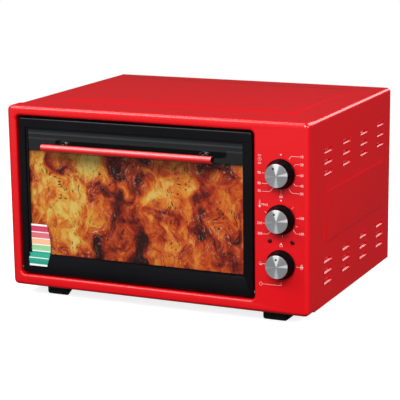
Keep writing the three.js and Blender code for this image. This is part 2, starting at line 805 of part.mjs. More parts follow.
// The bush that grips the mains cord where it enters the back. Its bore is open.
function cableGland() {
  const profile = [
    [glandBoreRadius, -glandFlangeThickness], [glandFlangeRadius - glandEdge, -glandFlangeThickness],
    [glandFlangeRadius, glandEdge - glandFlangeThickness], [glandFlangeRadius, 0], [glandRadius, 0],
    [glandRadius, glandLength - glandFlangeThickness],
    [glandBoreRadius, glandLength - glandFlangeThickness], [glandBoreRadius, -glandFlangeThickness],
  ];
  add("cable_gland", turned(profile, holeSides), materials.blackPlastic,
    [controlCentre, cabinetDepth + seatGap, cabinetBottom + glandHeight]);
}

// The enamelled box for food: a front flange, pressed shelf ledges and holes for the elements and bulb.
function ovenCavity() {
  const box = (grow) => roundedRectangle(cavityWidth + 2 * grow, cavityHeight + 2 * grow,
    cavityCornerRadius + grow, openingCentre, openingMiddle);
  const shell = extruded("y", box(thinSheet), cavityFlangeFace, cavityBack + thinSheet);
  const hollow = extruded("y", box(0), -cutOverrun, cavityBack);
  const flange = extruded("y", box(cavityFlangeWidth), cavityFlangeFace, cavityFlangeFace + thinSheet);
  const ledge = (side, top, grow) => {
    const wall = side < 0 ? cavityLeft : cavityRight;
    const [high, low] = [top - grow, top - ledgeThickness + grow];
    const slope = (ledgeThickness - ledgeTipThickness) / 2;
    const tip = wall - side * (ledgeReach - grow);
    const root = wall + side * (grow > 0 ? thinSheet + cutOverrun : thinSheet / 2);
    const outline = [[root, low], [root, high], [tip, high], [tip, low + slope]];
    const points = outline.map(([x, z]) => new THREE.Vector2(x, z));
    return extruded("y", points, cavityFlangeFace + ledgeInset + grow, cavityBack - ledgeInset - grow);
  };
  const each = (grow) => [-1, 1].flatMap((side) => ledgeTops.map((top) => ledge(side, top, grow)));
  const elementHoles = elementHeights.flatMap((z) => elementRuns.map((y) =>
    bar("x", elementRadius + seatGap, cavityRight - cutOverrun, cavityRight + cutOverrun, y, z)));
  const bulbHole = bar("x", capillaryRadius + seatGap, cavityRight - cutOverrun, cavityRight + cutOverrun,
    capillaryDepth, capillaryZ);
  const flangeRelief = [-1, 1].map((side) => {
    const edge = openingCentre + (side * openingWidth) / 2;
    return block([edge, 0, openingBottom - cavityFlangeWidth],
      [edge + side * cavityFlangeWidth, cavityBack, hingeAxisZ + leverArm + leverHalfWidth]);
  });
  const pressed = joined([shell, flange]).subtract(hollow).add(joined(each(0)));
  add("oven_cavity", cutBy(pressed, [...each(thinSheet), ...elementHoles, bulbHole, ...flangeRelief]),
    materials.cavityEnamel);
}

// The bent strip under the back of the cavity, which carries it on the base pan.
function cavitySupport() {
  const low = cabinetBottom + thinSheet + seatGap;
  const high = cavityBottom - thinSheet - seatGap;
  const back = cavityBack - supportBackMargin;
  const strip = block([0, back - supportDepth, low], [supportWidth, back, high]);
  const inside = block([-cutOverrun, back - supportDepth + thinSheet, low + thinSheet],
    [supportWidth + cutOverrun, back + cutOverrun, high - thinSheet]);
  add("cavity_support", strip.subtract(inside), materials.steel,
    [openingCentre - supportWidth / 2, 0, 0]);
}

// The heat-proof strip seal on the cavity flange, along its top and sides.
function doorSeal() {
  const outer = (grow) => roundedRectangle(cavityWidth + 2 * grow, cavityHeight + 2 * grow,
    cavityCornerRadius + grow, openingCentre, openingMiddle);
  const back = cavityFlangeFace - seatGap;
  const loop = extruded("y", outer(sealOffset + sealWidth), back - sealThickness, back)
    .subtract(extruded("y", outer(sealOffset), 0, back + cutOverrun));
  const below = block([-cabinetWidth, 0, 0], [cabinetWidth, cabinetDepth, cabinetBottom + sealBottom]);
  add("door_seal", loop.subtract(below), materials.silicone);
}

const elementSpan = cavityBack - elementBackMargin - elementFront;
const elementHeights = [cavityTop - elementWallDistance,
  cavityBottom + elementWallDistance - elementRadius];
const elementRuns = [elementFront, elementFront + elementSpan];

// The two heating elements: rods bent to a hairpin, each with an end plate outside the cavity wall.
function heatingElements() {
  const left = cavityLeft + elementLeftMargin;
  const right = cavityRight + thinSheet + elementTail;
  ["upper", "lower"].forEach((name, i) => {
    const z = elementHeights[i];
    const corners = [[right, elementRuns[0]], [left, elementRuns[0]], [left, elementRuns[1]],
      [right, elementRuns[1]]];
    const line = rounded(corners.map(([x, y]) => new THREE.Vector3(x, y, 0)), elementBendRadius,
      2 * cornerSteps);
    add(`heating_element_${name}`, rod(line, elementRadius), materials.elementSheath, [0, 0, z]);

    const inner = cavityRight + thinSheet + seatGap;
    const middle = (elementRuns[0] + elementRuns[1]) / 2;
    const length = elementSpan + 2 * elementPlateMargin;
    const plateOutline = roundedRectangle(length, elementPlateHeight, elementPlateCorner, middle);
    const plate = extruded("x", plateOutline, 0, elementPlateThickness);
    const bosses = elementRuns.map((y) => bar("x", elementBossRadius, elementPlateThickness / 2,
      elementPlateThickness + elementBossLength, y, 0));
    const bores = elementRuns.map((y) => bar("x", elementRadius + seatGap, -cutOverrun,
      elementPlateThickness + elementBossLength + cutOverrun, y, 0));
    add(`element_plate_${name}`, cutBy(joined([plate, ...bosses]), bores), materials.ceramic,
      [inner, 0, z]);

    const wall = i === 0 ? cavityTop : cavityBottom;
    const towards = Math.sign(wall - z);
    const gap = elementRadius + seatGap;
    const hookLine = [[-gap - thinSheet, wall - towards * seatGap],
      [-gap - thinSheet, z - towards * (gap + thinSheet)],
      [gap + thinSheet, z - towards * (gap + thinSheet)], [gap + thinSheet, z],
      [gap, z], [gap, z - towards * gap], [-gap, z - towards * gap], [-gap, wall - towards * seatGap]];
    const outline = hookLine.map(([x, h]) => new THREE.Vector2(x, h));
    add(`element_hook_${name}`, extruded("y", outline, -hookWidth / 2, hookWidth / 2), materials.steel,
      [left, middle, 0]);
  });
}

// The welded wire rack: a bent rod frame with wires along the depth, on the middle ledges.
function wireRack() {
  const width = cavityWidth - 2 * rackSideGap - 2 * rackFrameRadius;
  const outline = roundedRectangle(width, rackLength, rackCornerRadius);
  const frame = rod(outline.map((p) => new THREE.Vector3(p.x, p.y, 0)), rackFrameRadius, rodSides, true);
  const lift = rackFrameRadius + rackWireRadius - rackWireSink;
  const reach = rackLength / 2;
  const pitch = (width - 2 * rackCornerRadius) / (rackWireCount - 1);
  const wires = Array.from({ length: rackWireCount }, (_, i) =>
    bar("y", rackWireRadius, -reach, reach, (i - (rackWireCount - 1) / 2) * pitch, lift, wireSides));
  const brace = bar("x", rackBraceRadius, -width / 2, width / 2, 0, 0, rodSides);
  add("wire_rack", joined([frame, brace, ...wires]), materials.chrome,
    [openingCentre, cavityFlangeFace + rackFront + rackLength / 2,
      ledgeTops[1] + rackFrameRadius + seatGap]);
}

// The enamelled baking tray, with tapered walls and a flat rim, on the lowest ledges.
function bakingTray() {
  const width = cavityWidth - 2 * rackSideGap;
  const mouth = [width - 2 * trayRimWidth, trayLength - 2 * trayRimWidth];
  const outline = (grow, corner) => roundedRectangle(mouth[0] + 2 * grow, mouth[1] + 2 * grow, corner);
  const rings = (grow, floor, top) => loft([
    ring("z", outline(grow - trayTaper - trayFloorRadius, trayCornerRadius - trayTaper + grow), floor),
    ring("z", outline(grow - trayTaper, trayCornerRadius - trayTaper + grow),
      floor + trayFloorRadius / 2),
    ring("z", outline(grow, trayCornerRadius + grow), 0),
    ring("z", outline(grow, trayCornerRadius + grow), top),
  ]);
  const rim = extruded("z", outline(trayRimWidth, trayCornerRadius + trayRimWidth), 0, trayWall);
  const well = rings(0, trayWall - trayDepth, cutOverrun);
  const tray = rings(trayWall, -trayDepth, trayWall).add(rim).subtract(well);
  add("baking_tray", tray, materials.blackEnamel,
    [openingCentre, cavityFlangeFace + trayFront + trayLength / 2, ledgeTops[0] + seatGap]);
}

// The black door frame: a pressed shell open at the back, with a stepped window opening.
function doorFrame() {
  const shell = pressedBox(doorWidth, doorHeight, doorCornerRadius, doorEdgeRadius, doorFront, doorBack,
    openingCentre, doorMiddle);
  const hollow = pressedBox(doorWidth - 2 * sheet, doorHeight - 2 * sheet, doorCornerRadius - sheet,
    doorEdgeRadius - sheet, doorFront + sheet, doorBack + cutOverrun, openingCentre, doorMiddle);
  const window = (grow, from, to) => extruded("y", roundedRectangle(windowWidth + 2 * grow,
    windowHeight + 2 * grow, rebateDepth + Math.max(grow, 0), openingCentre, windowMiddle), from, to);
  const rebate = window(sheet, doorFront + sheet / 2, frameBack);
  const clear = window(-rebateWidth, -cutOverrun, doorBack);
  const pinHoles = bar("x", hingePinRadius + seatGap, openingLeft, openingRight, hingeAxisY, hingeAxisZ);
  const halfWindow = windowWidth / 2;
  const sillFoot = windowBottom - sillHeight;
  const sillBack = block([openingCentre - halfWindow - sheet, doorFront + sheet / 2, sillFoot - sheet],
    [openingCentre + halfWindow + sheet, frameBack, windowBottom]);
  const slope = rebateDepth / sillHeight;
  const ahead = doorFront - cutOverrun * slope;
  const sillOutline = [[ahead, sillFoot - cutOverrun], [rebateFace, windowBottom], [ahead, windowBottom]]
    .map(([y, z]) => new THREE.Vector2(y, z));
  const sillCut = extruded("x", sillOutline, openingCentre - halfWindow, openingCentre + halfWindow);
  const grooves = [-1, 1].map((side) => block(
    [openingCentre + side * (halfWindow - cutOverrun), 0, windowTop - railGrooveWidth],
    [openingCentre + side * openingWidth, doorFront + railGrooveDepth, windowTop]));
  const stepped = joined([shell.subtract(hollow), rebate, sillBack]);
  const step = window(0, -cutOverrun, rebateFace);
  add("door_frame", cutBy(stepped, [step, clear, pinHoles, sillCut, ...grooves]), materials.blackEnamel);
}

// The window pane, held behind the frame's step. Two holes take the handle's screws.
function doorGlass() {
  const outline = roundedRectangle(glassWidth, glassHeight, glassCornerRadius);
  const pane = extruded("y", outline, 0, glassThickness);
  const holes = [-1, 1].map((side) => bar("y", screwRadius + 2 * seatGap, -cutOverrun,
    glassThickness + cutOverrun, (side * postSpacing) / 2, handleZ - windowMiddle));
  add("door_glass", cutBy(pane, holes), materials.glass, [openingCentre, glassFront, windowMiddle]);
}

// The plain display card that lies behind the clear part of the glass.
function windowCard() {
  const top = cardTop;
  const bottom = clearBottom - glassMargin / 2;
  const outline = roundedRectangle(clearWidth + glassMargin, top - bottom, rebateDepth);
  const card = extruded("y", outline, 0, cardThickness);
  add("window_card", card, materials.card, [openingCentre, cardFront, (top + bottom) / 2]);
}

// The inner door panel, which closes the frame's back and holds the glass and card with its folded lip.
function doorInnerPanel() {
  const inset = sheet + seatGap;
  const plate = extruded("y", roundedRectangle(doorWidth - 2 * inset, doorHeight - 2 * inset,
    doorCornerRadius - inset, openingCentre, doorMiddle), panelFront, panelBack);
  const middle = (panelWindowTop + panelWindowBottom) / 2;
  const window = (grow, from, to) => extruded("y", roundedRectangle(panelWindowWidth + 2 * grow,
    panelWindowTop - panelWindowBottom + 2 * grow, doorCornerRadius, openingCentre, middle), from, to);
  const lip = window(thinSheet, cardBack + seatGap, panelBack);
  const screwHoles = [-1, 1].map((side) => bar("y", screwRadius + seatGap, panelFront - cutOverrun,
    panelBack + cutOverrun, openingCentre + (side * postSpacing) / 2, handleZ));
  const through = window(0, -cutOverrun, panelBack + cutOverrun);
  add("door_inner_panel", cutBy(plate.add(lip), [through, ...screwHoles]), materials.steel);
}

// The handle: a red bar with a dark backing on two collared posts, and screws from inside.
function handle() {
  const half = handleLength / 2;
  const behindBar = block([-handleLength, 0, -handleReach], [handleLength, handleReach, handleReach]);
  const arch = (inset, end) => extruded("x", roundedRectangle(2 * (handleBarDepth - inset),
    handleBarHeight - 2 * inset, handleEdgeRadius - inset), -end, end).subtract(behindBar);
  add("handle_bar", arch(0, half).subtract(arch(handleWall, half + cutOverrun)), materials.redPaint,
    [openingCentre, -handleReach + handleBarDepth, handleZ]);

  const backingOutline = roundedRectangle(backingLength, backingHeight, backingEndRadius);
  const strip = extruded("y", backingOutline, seatGap, seatGap + backingDepth);
  const neck = block([-half, -seatGap, -coreHalf], [half, seatGap + backingDepth / 2, coreHalf]);
  add("handle_backing", arch(handleWall + seatGap, half).add(neck).add(strip), materials.blackPlastic,
    [openingCentre, -handleReach + handleBarDepth, handleZ]);

  const postLength = postFoot - handleBack - seatGap;
  const bore = screwBite + seatGap;
  const post = turned([
    [0, bore], [screwRadius + seatGap, bore], [screwRadius + seatGap, 0], [postCollarRadius, 0],
    [postCollarRadius, postCollarLength], [postRadius, postCollarLength], [postRadius, postLength],
    [0, postLength],
  ], holeSides);
  const headBack = panelBack + seatGap + screwHeadHeight;
  const shank = headBack - screwHeadHeight - postFoot + screwBite;
  const screw = turned([
    [0, 0], [screwHeadFlatRadius, 0], [screwHeadRadius, screwHeadHeight / 2],
    [screwHeadRadius, screwHeadHeight], [screwRadius, screwHeadHeight],
    [screwRadius, screwHeadHeight + shank], [0, screwHeadHeight + shank],
  ], holeSides);
  for (const [side, way] of [["left", -1], ["right", 1]]) {
    const x = openingCentre + (way * postSpacing) / 2;
    add(`handle_post_${side}`, post, materials.chrome, [x, postFoot, handleZ]);
    add(`handle_screw_${side}`, screw, materials.steel, [x, headBack, handleZ]);
  }
}

// The X position of a hinge piece at a distance outside the door opening's edge. Side is -1 or 1.
const outsideOpening = (side, distance) => openingCentre + side * (openingWidth / 2 + distance);
const leverInner = sheet + seatGap + bushFlangeThickness + seatGap;
const springDistance = leverInner + leverThickness + leverPegLength / 2 + seatGap;
const springLine = (side) => outsideOpening(side, springDistance);

// A helix with straight tails, along Y from the origin. It prints the least gap between its curls.
function springCoil() {
  const steps = springCurls * springCurlSteps;
  const helix = Array.from({ length: steps + 1 }, (_, i) => {
    const turn = (2 * Math.PI * i) / springCurlSteps;
    const y = springTail + (i / springCurlSteps) * springCurlPitch;
    return new THREE.Vector3(springRadius * Math.cos(turn), y, springRadius * Math.sin(turn));
  });
  let least = Infinity;
  helix.forEach((p, i) => helix.slice(i + springCurlSteps - 1).forEach((q) => {
    least = Math.min(least, p.distanceTo(q) - 2 * springWireRadius);
  }));
  console.log(`least gap between spring curls: ${least.toFixed(2)} mm`);
  const end = springLength;
  const tail = [new THREE.Vector3(0, 0, 0), new THREE.Vector3(0, springTail / 2, 0)];
  const farTail = [new THREE.Vector3(0, end - springTail / 2, 0), new THREE.Vector3(0, end, 0)];
  return rod([...tail, ...helix, ...farTail], springWireRadius, springWireSides);
}

// The door's hinges: a pin plate inside each stile, a bush in the opening's lip, a sprung lever beyond it.
function hinges() {
  const spring = springCoil();
  for (const [side, way] of [["left", -1], ["right", 1]]) {
    const at = (distance) => outsideOpening(way, distance) - openingCentre;
    const plateOuter = at(-doorSideGap - sheet - hingePlateSideGap);
    const plateInner = plateOuter - way * hingePlateThickness;
    const place = [openingCentre, hingeAxisY, hingeAxisZ];
    const half = doorThickness / 2 - hingePlateEdgeGap;
    const plate = block([plateOuter, -half, -hingePlateHeel], [plateInner, half, hingePlateHeight]);
    const span = (a, b) => [Math.min(a, b), Math.max(a, b)];
    const pinEnd = at(leverInner + leverThickness + seatGap);
    const pin = bar("x", hingePinRadius, ...span(plateInner - way * seatGap, pinEnd), 0, 0);
    add(`door_hinge_${side}`, plate.add(pin), materials.steel, place);

    const boreRadius = hingePinRadius + turningGap;
    const bushRadius = boreRadius + bushWall;
    const flangeInner = sheet + seatGap;
    const sleeve = bar("x", bushRadius, ...span(at(0), at(flangeInner)), 0, 0);
    const flange = bar("x", bushRadius + bushFlangeWidth,
      ...span(at(flangeInner), at(flangeInner + bushFlangeThickness)), 0, 0);
    const bore = bar("x", boreRadius, ...span(at(-cutOverrun), at(leverInner)), 0, 0);
    add(`hinge_bush_${side}`, sleeve.add(flange).subtract(bore), materials.blackPlastic, place);

    const [inner, outer] = [at(leverInner), at(leverInner + leverThickness)];
    const outline = roundedRectangle(leverArm + 2 * leverHalfWidth, 2 * leverHalfWidth, leverEndRadius,
      leverArm / 2, 0);
    const leverPlate = extruded("x", outline, ...span(inner, outer));
    const peg = bar("x", leverPegRadius, ...span(inner, outer + way * leverPegLength), leverArm, 0);
    const pinHole = bar("x", hingePinRadius + leverPinGap,
      ...span(at(leverInner - cutOverrun), at(leverInner + leverThickness + cutOverrun)), 0, 0);
    add(`hinge_lever_${side}`, leverPlate.add(peg).subtract(pinHole), materials.steel, place);
    add(`door_spring_${side}`, spring, materials.steel, [springLine(way), springStart, hingeAxisZ]);
  }
}

// A control's knob, metal cap and shaft. The knob is a hollow moulding with a hub round the shaft.
function knob(name, z, dotTurn) {
  const face = knobHeight - capThickness;
  const inside = face - knobWall;
  const shell = turned([
    [knobHubRadius, 0], [knobHubRadius, inside], [knobFrontRadius - knobWall, inside],
    [knobRadius - knobWall, 0], [knobRadius, 0], [knobRadius, knobSkirtHeight],
    [knobRadius - knobEdgeRadius, knobSkirtHeight + knobEdgeRadius],
    [knobFrontRadius + knobRimStep, face - knobEdgeRadius], [knobFrontRadius, face],
    [0, face], [0, 0], [knobHubRadius, 0],
  ]);
  const dShape = (grow) => {
    const [reach, far] = [knobHeight + shaftGrip, shaftRadius + cutOverrun];
    const round = bar("y", shaftRadius + grow, -reach, reach, 0, 0);
    return round.subtract(block([-far, -reach - cutOverrun, shaftFlat + grow],
      [far, reach + cutOverrun, far]));
  };
  const beyond = block([-knobRadius, -knobHeight - shaftGrip - cutOverrun, -knobRadius],
    [knobRadius, -shaftGrip - seatGap, knobRadius]);
  const boreTool = dShape(seatGap).subtract(beyond);
  add(`knob_${name}`, shell.subtract(boreTool), materials.blackPlastic,
    [controlCentre, -knobStandOff, z]);

  const disc = turned([
    [0, 0], [knobFrontRadius, 0], [knobFrontRadius, capThickness - seatGap - capEdge],
    [knobFrontRadius - capEdge, capThickness - seatGap], [0, capThickness - seatGap],
  ]);
  const angle = THREE.MathUtils.degToRad(dotTurn);
  const dot = bar("y", capDotRadius, -knobHeight, knobHeight, capDotOffset * Math.sin(angle),
    capDotOffset * Math.cos(angle), rodSides);
  add(`knob_cap_${name}`, disc.subtract(dot), materials.brushedMetal,
    [controlCentre, -knobStandOff - face - seatGap, z]);

  const shaftBack = behindFront + mountPlateThickness + seatGap;
  const shaft = dShape(0).intersect(block([-knobRadius, -shaftGrip - knobStandOff, -knobRadius],
    [knobRadius, shaftBack + mountPlateThickness, knobRadius]));
  add(`${name}_shaft`, shaft, materials.steel, [controlCentre, 0, z]);
}

// A control's body behind the front sheet: a mounting plate and a block, with a hole for its shaft.
function controlBody(width, height, depth, extras = []) {
  const plateTop = height / 2 + mountPlateMargin;
  const plate = extruded("y", roundedRectangle(width - mountPlateSetIn, 2 * plateTop, mountPlateCorner),
    0, mountPlateThickness);
  const body = extruded("y", roundedRectangle(width, height, bodyCorner), mountPlateThickness / 2, depth);
  const hole = bar("y", shaftRadius + turningGap, -cutOverrun,
    2 * mountPlateThickness + 2 * seatGap + turningGap, 0, 0);
  return joined([plate, body, ...extras]).subtract(hole);
}

// A row of flat push-on terminals on the back of a control.
function tabRow(depth, z) {
  return Array.from({ length: tabCount }, (_, i) => {
    const x = (i - (tabCount - 1) / 2) * tabPitch;
    return block([x - tabThickness / 2, depth - tabThickness, z - tabWidth / 2],
      [x + tabThickness / 2, depth + tabLength, z + tabWidth / 2]);
  });
}

// The timer with its bell, the thermostat with its capillary, the selector switch and the pilot lamps.
function controls() {
  ["timer", "thermostat", "selector"].forEach((name, i) => knob(name, knobHeights[i], capDotTurns[i]));

  const bellPost = bar("y", bellPostRadius, timerDepth - thinSheet, timerDepth + bellDepth - bellWall,
    0, 0);
  add("timer_body", controlBody(timerWidth, timerHeight, timerDepth, [bellPost]), materials.steel,
    [controlCentre, behindFront, knobHeights[0]]);
  const bell = turned([
    [0, 0], [bellCrownRadius, 0], [bellRadius, bellShoulder], [bellRadius, bellDepth],
    [bellRadius - bellWall, bellDepth], [bellRadius - bellWall, bellShoulder],
    [bellCrownRadius - bellWall / 2, bellWall], [0, bellWall],
  ], bellSides);
  add("timer_bell", bell, materials.brushedMetal,
    [controlCentre, behindFront + timerDepth + bellDepth + seatGap, knobHeights[0]]);

  add("thermostat_body", controlBody(thermostatWidth, thermostatHeight, thermostatDepth,
    tabRow(thermostatDepth, thermostatHeight / 4)), materials.ceramic,
  [controlCentre, behindFront, knobHeights[1]]);
  const start = new THREE.Vector3(controlCentre, behindFront + thermostatDepth + seatGap, knobHeights[1]);
  const holeZ = capillaryZ;
  const bulbX = cavityRight - bulbWallDistance;
  const line = rounded([
    start,
    new THREE.Vector3(controlCentre, start.y + capillaryRun, start.z),
    new THREE.Vector3(controlCentre, capillaryDepth, holeZ),
    new THREE.Vector3(bulbX, capillaryDepth, holeZ),
    new THREE.Vector3(bulbX, capillaryDepth + 2 * capillaryBendRadius, holeZ),
  ], capillaryBendRadius - capillaryRadius);
  const bulbStart = capillaryDepth + 2 * capillaryBendRadius - seatGap;
  const bulb = bar("y", bulbRadius, bulbStart, bulbStart + bulbLength, bulbX, holeZ, rodSides);
  add("thermostat_capillary", rod(line, capillaryRadius, wireSides).add(bulb), materials.brushedMetal);

  add("selector_body", controlBody(selectorWidth, selectorWidth, selectorDepth,
    [...tabRow(selectorDepth, tabWidth), ...tabRow(selectorDepth, -tabWidth)]), materials.blackPlastic,
  [controlCentre, behindFront, knobHeights[2]]);

  const lamp = turned([
    [0, -pilotLength], [pilotRadius, -pilotLength], [pilotRadius, -behindFront - pilotCollarThickness],
    [pilotCollarRadius, -behindFront - pilotCollarThickness], [pilotCollarRadius, -behindFront],
    [pilotRadius, -behindFront],
    [pilotRadius, pilotProud / 2], [pilotTipRadius, pilotProud], [0, pilotProud],
  ], holeSides);
  for (const [side, way] of [["left", -1], ["right", 1]]) {
    add(`pilot_lamp_${side}`, lamp, materials.amber,
      [controlCentre + (way * pilotSpacing) / 2, 0, pilotZ]);
  }
}

// The upright sheet between cavity and controls, with windows for the element ends and capillary.
function heatShield() {
  const low = cabinetBottom + thinSheet + seatGap;
  const high = cabinetTop - shieldTopGap;
  const [front, back] = [shieldFront, cavityBack - shieldBack];
  const plate = block([0, front, low], [thinSheet, back, high]);
  const foot = block([0, front, low], [shieldFootWidth, back, low + thinSheet]);
  const topFold = block([0, front, high - thinSheet], [shieldFootWidth, back, high]);
  const capillaryHole = bar("x", capillaryRadius + 2 * seatGap, -cutOverrun, cutOverrun, capillaryDepth,
    capillaryZ);
  const windows = elementHeights.flatMap((z) => elementRuns.map((y) =>
    block([-cutOverrun, y - shieldWindowMargin, z - shieldWindowMargin],
      [cutOverrun, y + shieldWindowMargin, z + shieldWindowMargin])));
  add("heat_shield", cutBy(joined([plate, foot, topFold]), [capillaryHole, ...windows]), materials.steel,
    [shieldFace, 0, 0]);
}

// The mains terminal block on the base pan, and the wire loom that runs from it to the three controls.
function wiring() {
  const low = cabinetBottom + thinSheet + seatGap;
  const blockFront = cavityBack - blockBackMargin;
  const body = block([-blockWidth / 2, 0, 0], [blockWidth / 2, blockDepth, blockHeight]);
  const wells = [-1, 0, 1].map((i) => bar("z", tabWidth / 2, blockHeight / 2, blockHeight + cutOverrun,
    (i * blockWidth) / 3, blockDepth / 2, rodSides));
  add("terminal_block", cutBy(body, wells), materials.ceramic, [controlCentre, blockFront, low]);

  const loomZ = low + blockHeight / 2;
  const loomX = controlCentre + loomOffset;
  const forward = behindFront + timerDepth + bellDepth + loomSetBack;
  const branchHeights = [knobHeights[0] - bellRadius - loomBranchRadius,
    knobHeights[1] - thermostatHeight / 4, knobHeights[2]];
  const trunk = rod(rounded([new THREE.Vector3(loomX, blockFront - seatGap, loomZ),
    new THREE.Vector3(loomX, forward, loomZ),
    new THREE.Vector3(loomX, forward, branchHeights[0] + loomRadius)], loomBendRadius), loomRadius,
  wireSides);
  const depths = [timerDepth, thermostatDepth, selectorDepth];
  const branches = branchHeights.map((z, i) => rod([new THREE.Vector3(loomX, forward, z),
    new THREE.Vector3(loomX, behindFront + depths[i] + seatGap, z)], loomBranchRadius, wireSides));
  add("wiring_loom", joined([trunk, ...branches]), materials.cable);
}

frontFrame();
outerCover();
basePan();
feet();
rearPanel();
cableGland();
ovenCavity();
cavitySupport();
doorSeal();
heatingElements();
wireRack();
bakingTray();
doorFrame();
doorGlass();
windowCard();
doorInnerPanel();
handle();
hinges();
controls();
heatShield();
wiring();

// The origin is on the ground, in the middle of the space that the closed oven takes up.
const frontmost = -handleReach;
const rearmost = cabinetDepth + glandFlangeThickness + seatGap;
oven.position.set(0, -(frontmost + rearmost) / 2, 0);
const part = new THREE.Group();
part.add(oven);

export default part;
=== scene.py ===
import json
import math

import bmesh
import bpy
from bpy.props import FloatProperty, FloatVectorProperty, IntProperty, PointerProperty
from mathutils import Matrix, Vector


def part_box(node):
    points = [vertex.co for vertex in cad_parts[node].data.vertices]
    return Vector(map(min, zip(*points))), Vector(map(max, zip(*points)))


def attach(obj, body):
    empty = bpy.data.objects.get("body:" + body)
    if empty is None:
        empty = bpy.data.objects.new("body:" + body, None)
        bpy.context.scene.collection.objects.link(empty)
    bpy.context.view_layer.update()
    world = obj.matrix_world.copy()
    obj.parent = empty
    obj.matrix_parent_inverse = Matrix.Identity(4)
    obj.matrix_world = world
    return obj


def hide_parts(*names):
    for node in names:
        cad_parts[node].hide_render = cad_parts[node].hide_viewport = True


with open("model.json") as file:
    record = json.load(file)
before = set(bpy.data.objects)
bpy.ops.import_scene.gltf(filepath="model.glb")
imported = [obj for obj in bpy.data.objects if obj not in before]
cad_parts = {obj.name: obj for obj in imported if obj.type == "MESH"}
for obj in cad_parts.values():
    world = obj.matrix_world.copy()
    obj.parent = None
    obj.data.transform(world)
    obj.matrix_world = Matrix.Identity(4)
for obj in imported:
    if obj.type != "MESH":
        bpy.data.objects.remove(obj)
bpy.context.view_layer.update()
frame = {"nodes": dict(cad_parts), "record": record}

bl_info = {
    "name": "Bench-top Oven",
    "version": (1, 0, 0),
    "blender": (4, 5, 0),
    "location": "View3D > Sidebar > Oven",
    "description": "Finishes, prints, fittings and studio of a red bench-top electric oven",
    "category": "Object",
}

MM = 0.001
RECORD = frame["record"]
BODY_OF = {node: body for body, nodes in RECORD["behaviour"]["bodies"].items() for node in nodes}
SLOT_OF = {part["node"]: part["material_slot"] for part in RECORD["subparts"]}
CONTROLS = ("timer", "thermostat", "selector")
SIDES = ("left", "right")

MERGE_DISTANCE = 0.002 * MM  # points closer than this are one point
SLIVER_LENGTH = 0.001 * MM  # edges shorter than this are taken out
SHEET_LIMIT = 35.0  # edges sharper than this many degrees stay sharp
ROD_LIMIT = 50.0  # the same for rods and bent strips, which have fewer faces
KNOB_LIMIT = 25.0  # the same for turned pieces
PRINT_LIMIT = 20.0  # the same for print
FILM_LIMIT = 40.0  # the same for the label and the screws
NOISE_SPAN = (0.3, 0.7)  # nearly all of a noise's values lie in this span
WIDE_SPAN = (0.25, 0.75)  # and all of a fine noise's in this one


def low_corner(node):
    return Vector(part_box(node)[0])


def high_corner(node):
    return Vector(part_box(node)[1])


def middle_of(node):
    return (low_corner(node) + high_corner(node)) / 2


def radius_of(node):
    return (high_corner(node).x - low_corner(node).x) / 2


FASCIA = low_corner("front_frame").y
GLASS_FRONT = low_corner("door_glass").y
DOOR_FRONT = low_corner("door_frame").y
CARD_LOW, CARD_HIGH = low_corner("window_card"), high_corner("window_card")
KNOB_AXES = {name: middle_of(f"knob_{name}") for name in CONTROLS}
CAP_SHRINKAGE = 0.5 * MM  # how much smaller a cap looks in the photograph than its solid


# Settings that a user of the model may want to change

def colour_setting(name, description, default):
    return FloatVectorProperty(
        name=name, description=description, subtype="COLOR", size=3, min=0, max=1, default=default)


def length_setting(name, description, default):
    return FloatProperty(name=name, description=description, unit="LENGTH", default=default)


class OvenColours(bpy.types.PropertyGroup):
    paint: colour_setting(
        "Paint", "Colour of the enamel on the cabinet and handle", (0.70, 0.005, 0.009))
    door_black: colour_setting(
        "Door Black", "Colour of the enamel on the door frame", (0.003, 0.0026, 0.0036))
    print_ink: colour_setting(
        "Print Ink", "Colour of the dial figures and lines", (0.98, 0.56, 0.56))
    knob_black: colour_setting(
        "Knob Black", "Colour of the moulded knobs", (0.0018, 0.0016, 0.0018))
    floor: colour_setting("Floor", "Colour of the studio floor", (0.5, 0.5, 0.5))


class OvenSizes(bpy.types.PropertyGroup):
    knob_radius: length_setting(
        "Knob Radius", "Outer radius of a knob's skirt", radius_of("knob_timer"))
    knob_height: length_setting(
        "Knob Height", "Height of a knob in front of its seat",
        high_corner("knob_timer").y - low_corner("knob_timer").y)
    cap_radius: length_setting(
        "Cap Radius", "Radius of a knob's metal cap",
        radius_of("knob_cap_timer") - CAP_SHRINKAGE)
    turning_steps: IntProperty(
        name="Turning Steps", description="Number of faces round a knob",
        default=96, min=24, max=160)
    figure_height: length_setting("Figure Height", "Height of the dial figures", 3.8 * MM)
    line_width: length_setting("Line Width", "Width of the dial lines", 0.5 * MM)
    print_thickness: length_setting("Print Thickness", "How far the print stands proud", 0.07 * MM)
    label_width: length_setting("Label Width", "Width of the colour band label", 33.4 * MM)
    label_thickness: length_setting("Label Thickness", "Thickness of the label's film", 0.08 * MM)
    screw_radius: length_setting("Screw Radius", "Radius of a cabinet screw's head", 3.6 * MM)
    screw_height: length_setting("Screw Height", "Height of a cabinet screw's head", 1.7 * MM)


def colours():
    return bpy.context.scene.oven_colours


def sizes():
    return bpy.context.scene.oven_sizes


# Node trees

def rgba(colour):
    if isinstance(colour, bpy.types.NodeSocket):
        return colour
    return (*colour[:3], 1.0)


def shaded(colour, share):
    return tuple(share * c for c in colour[:3])


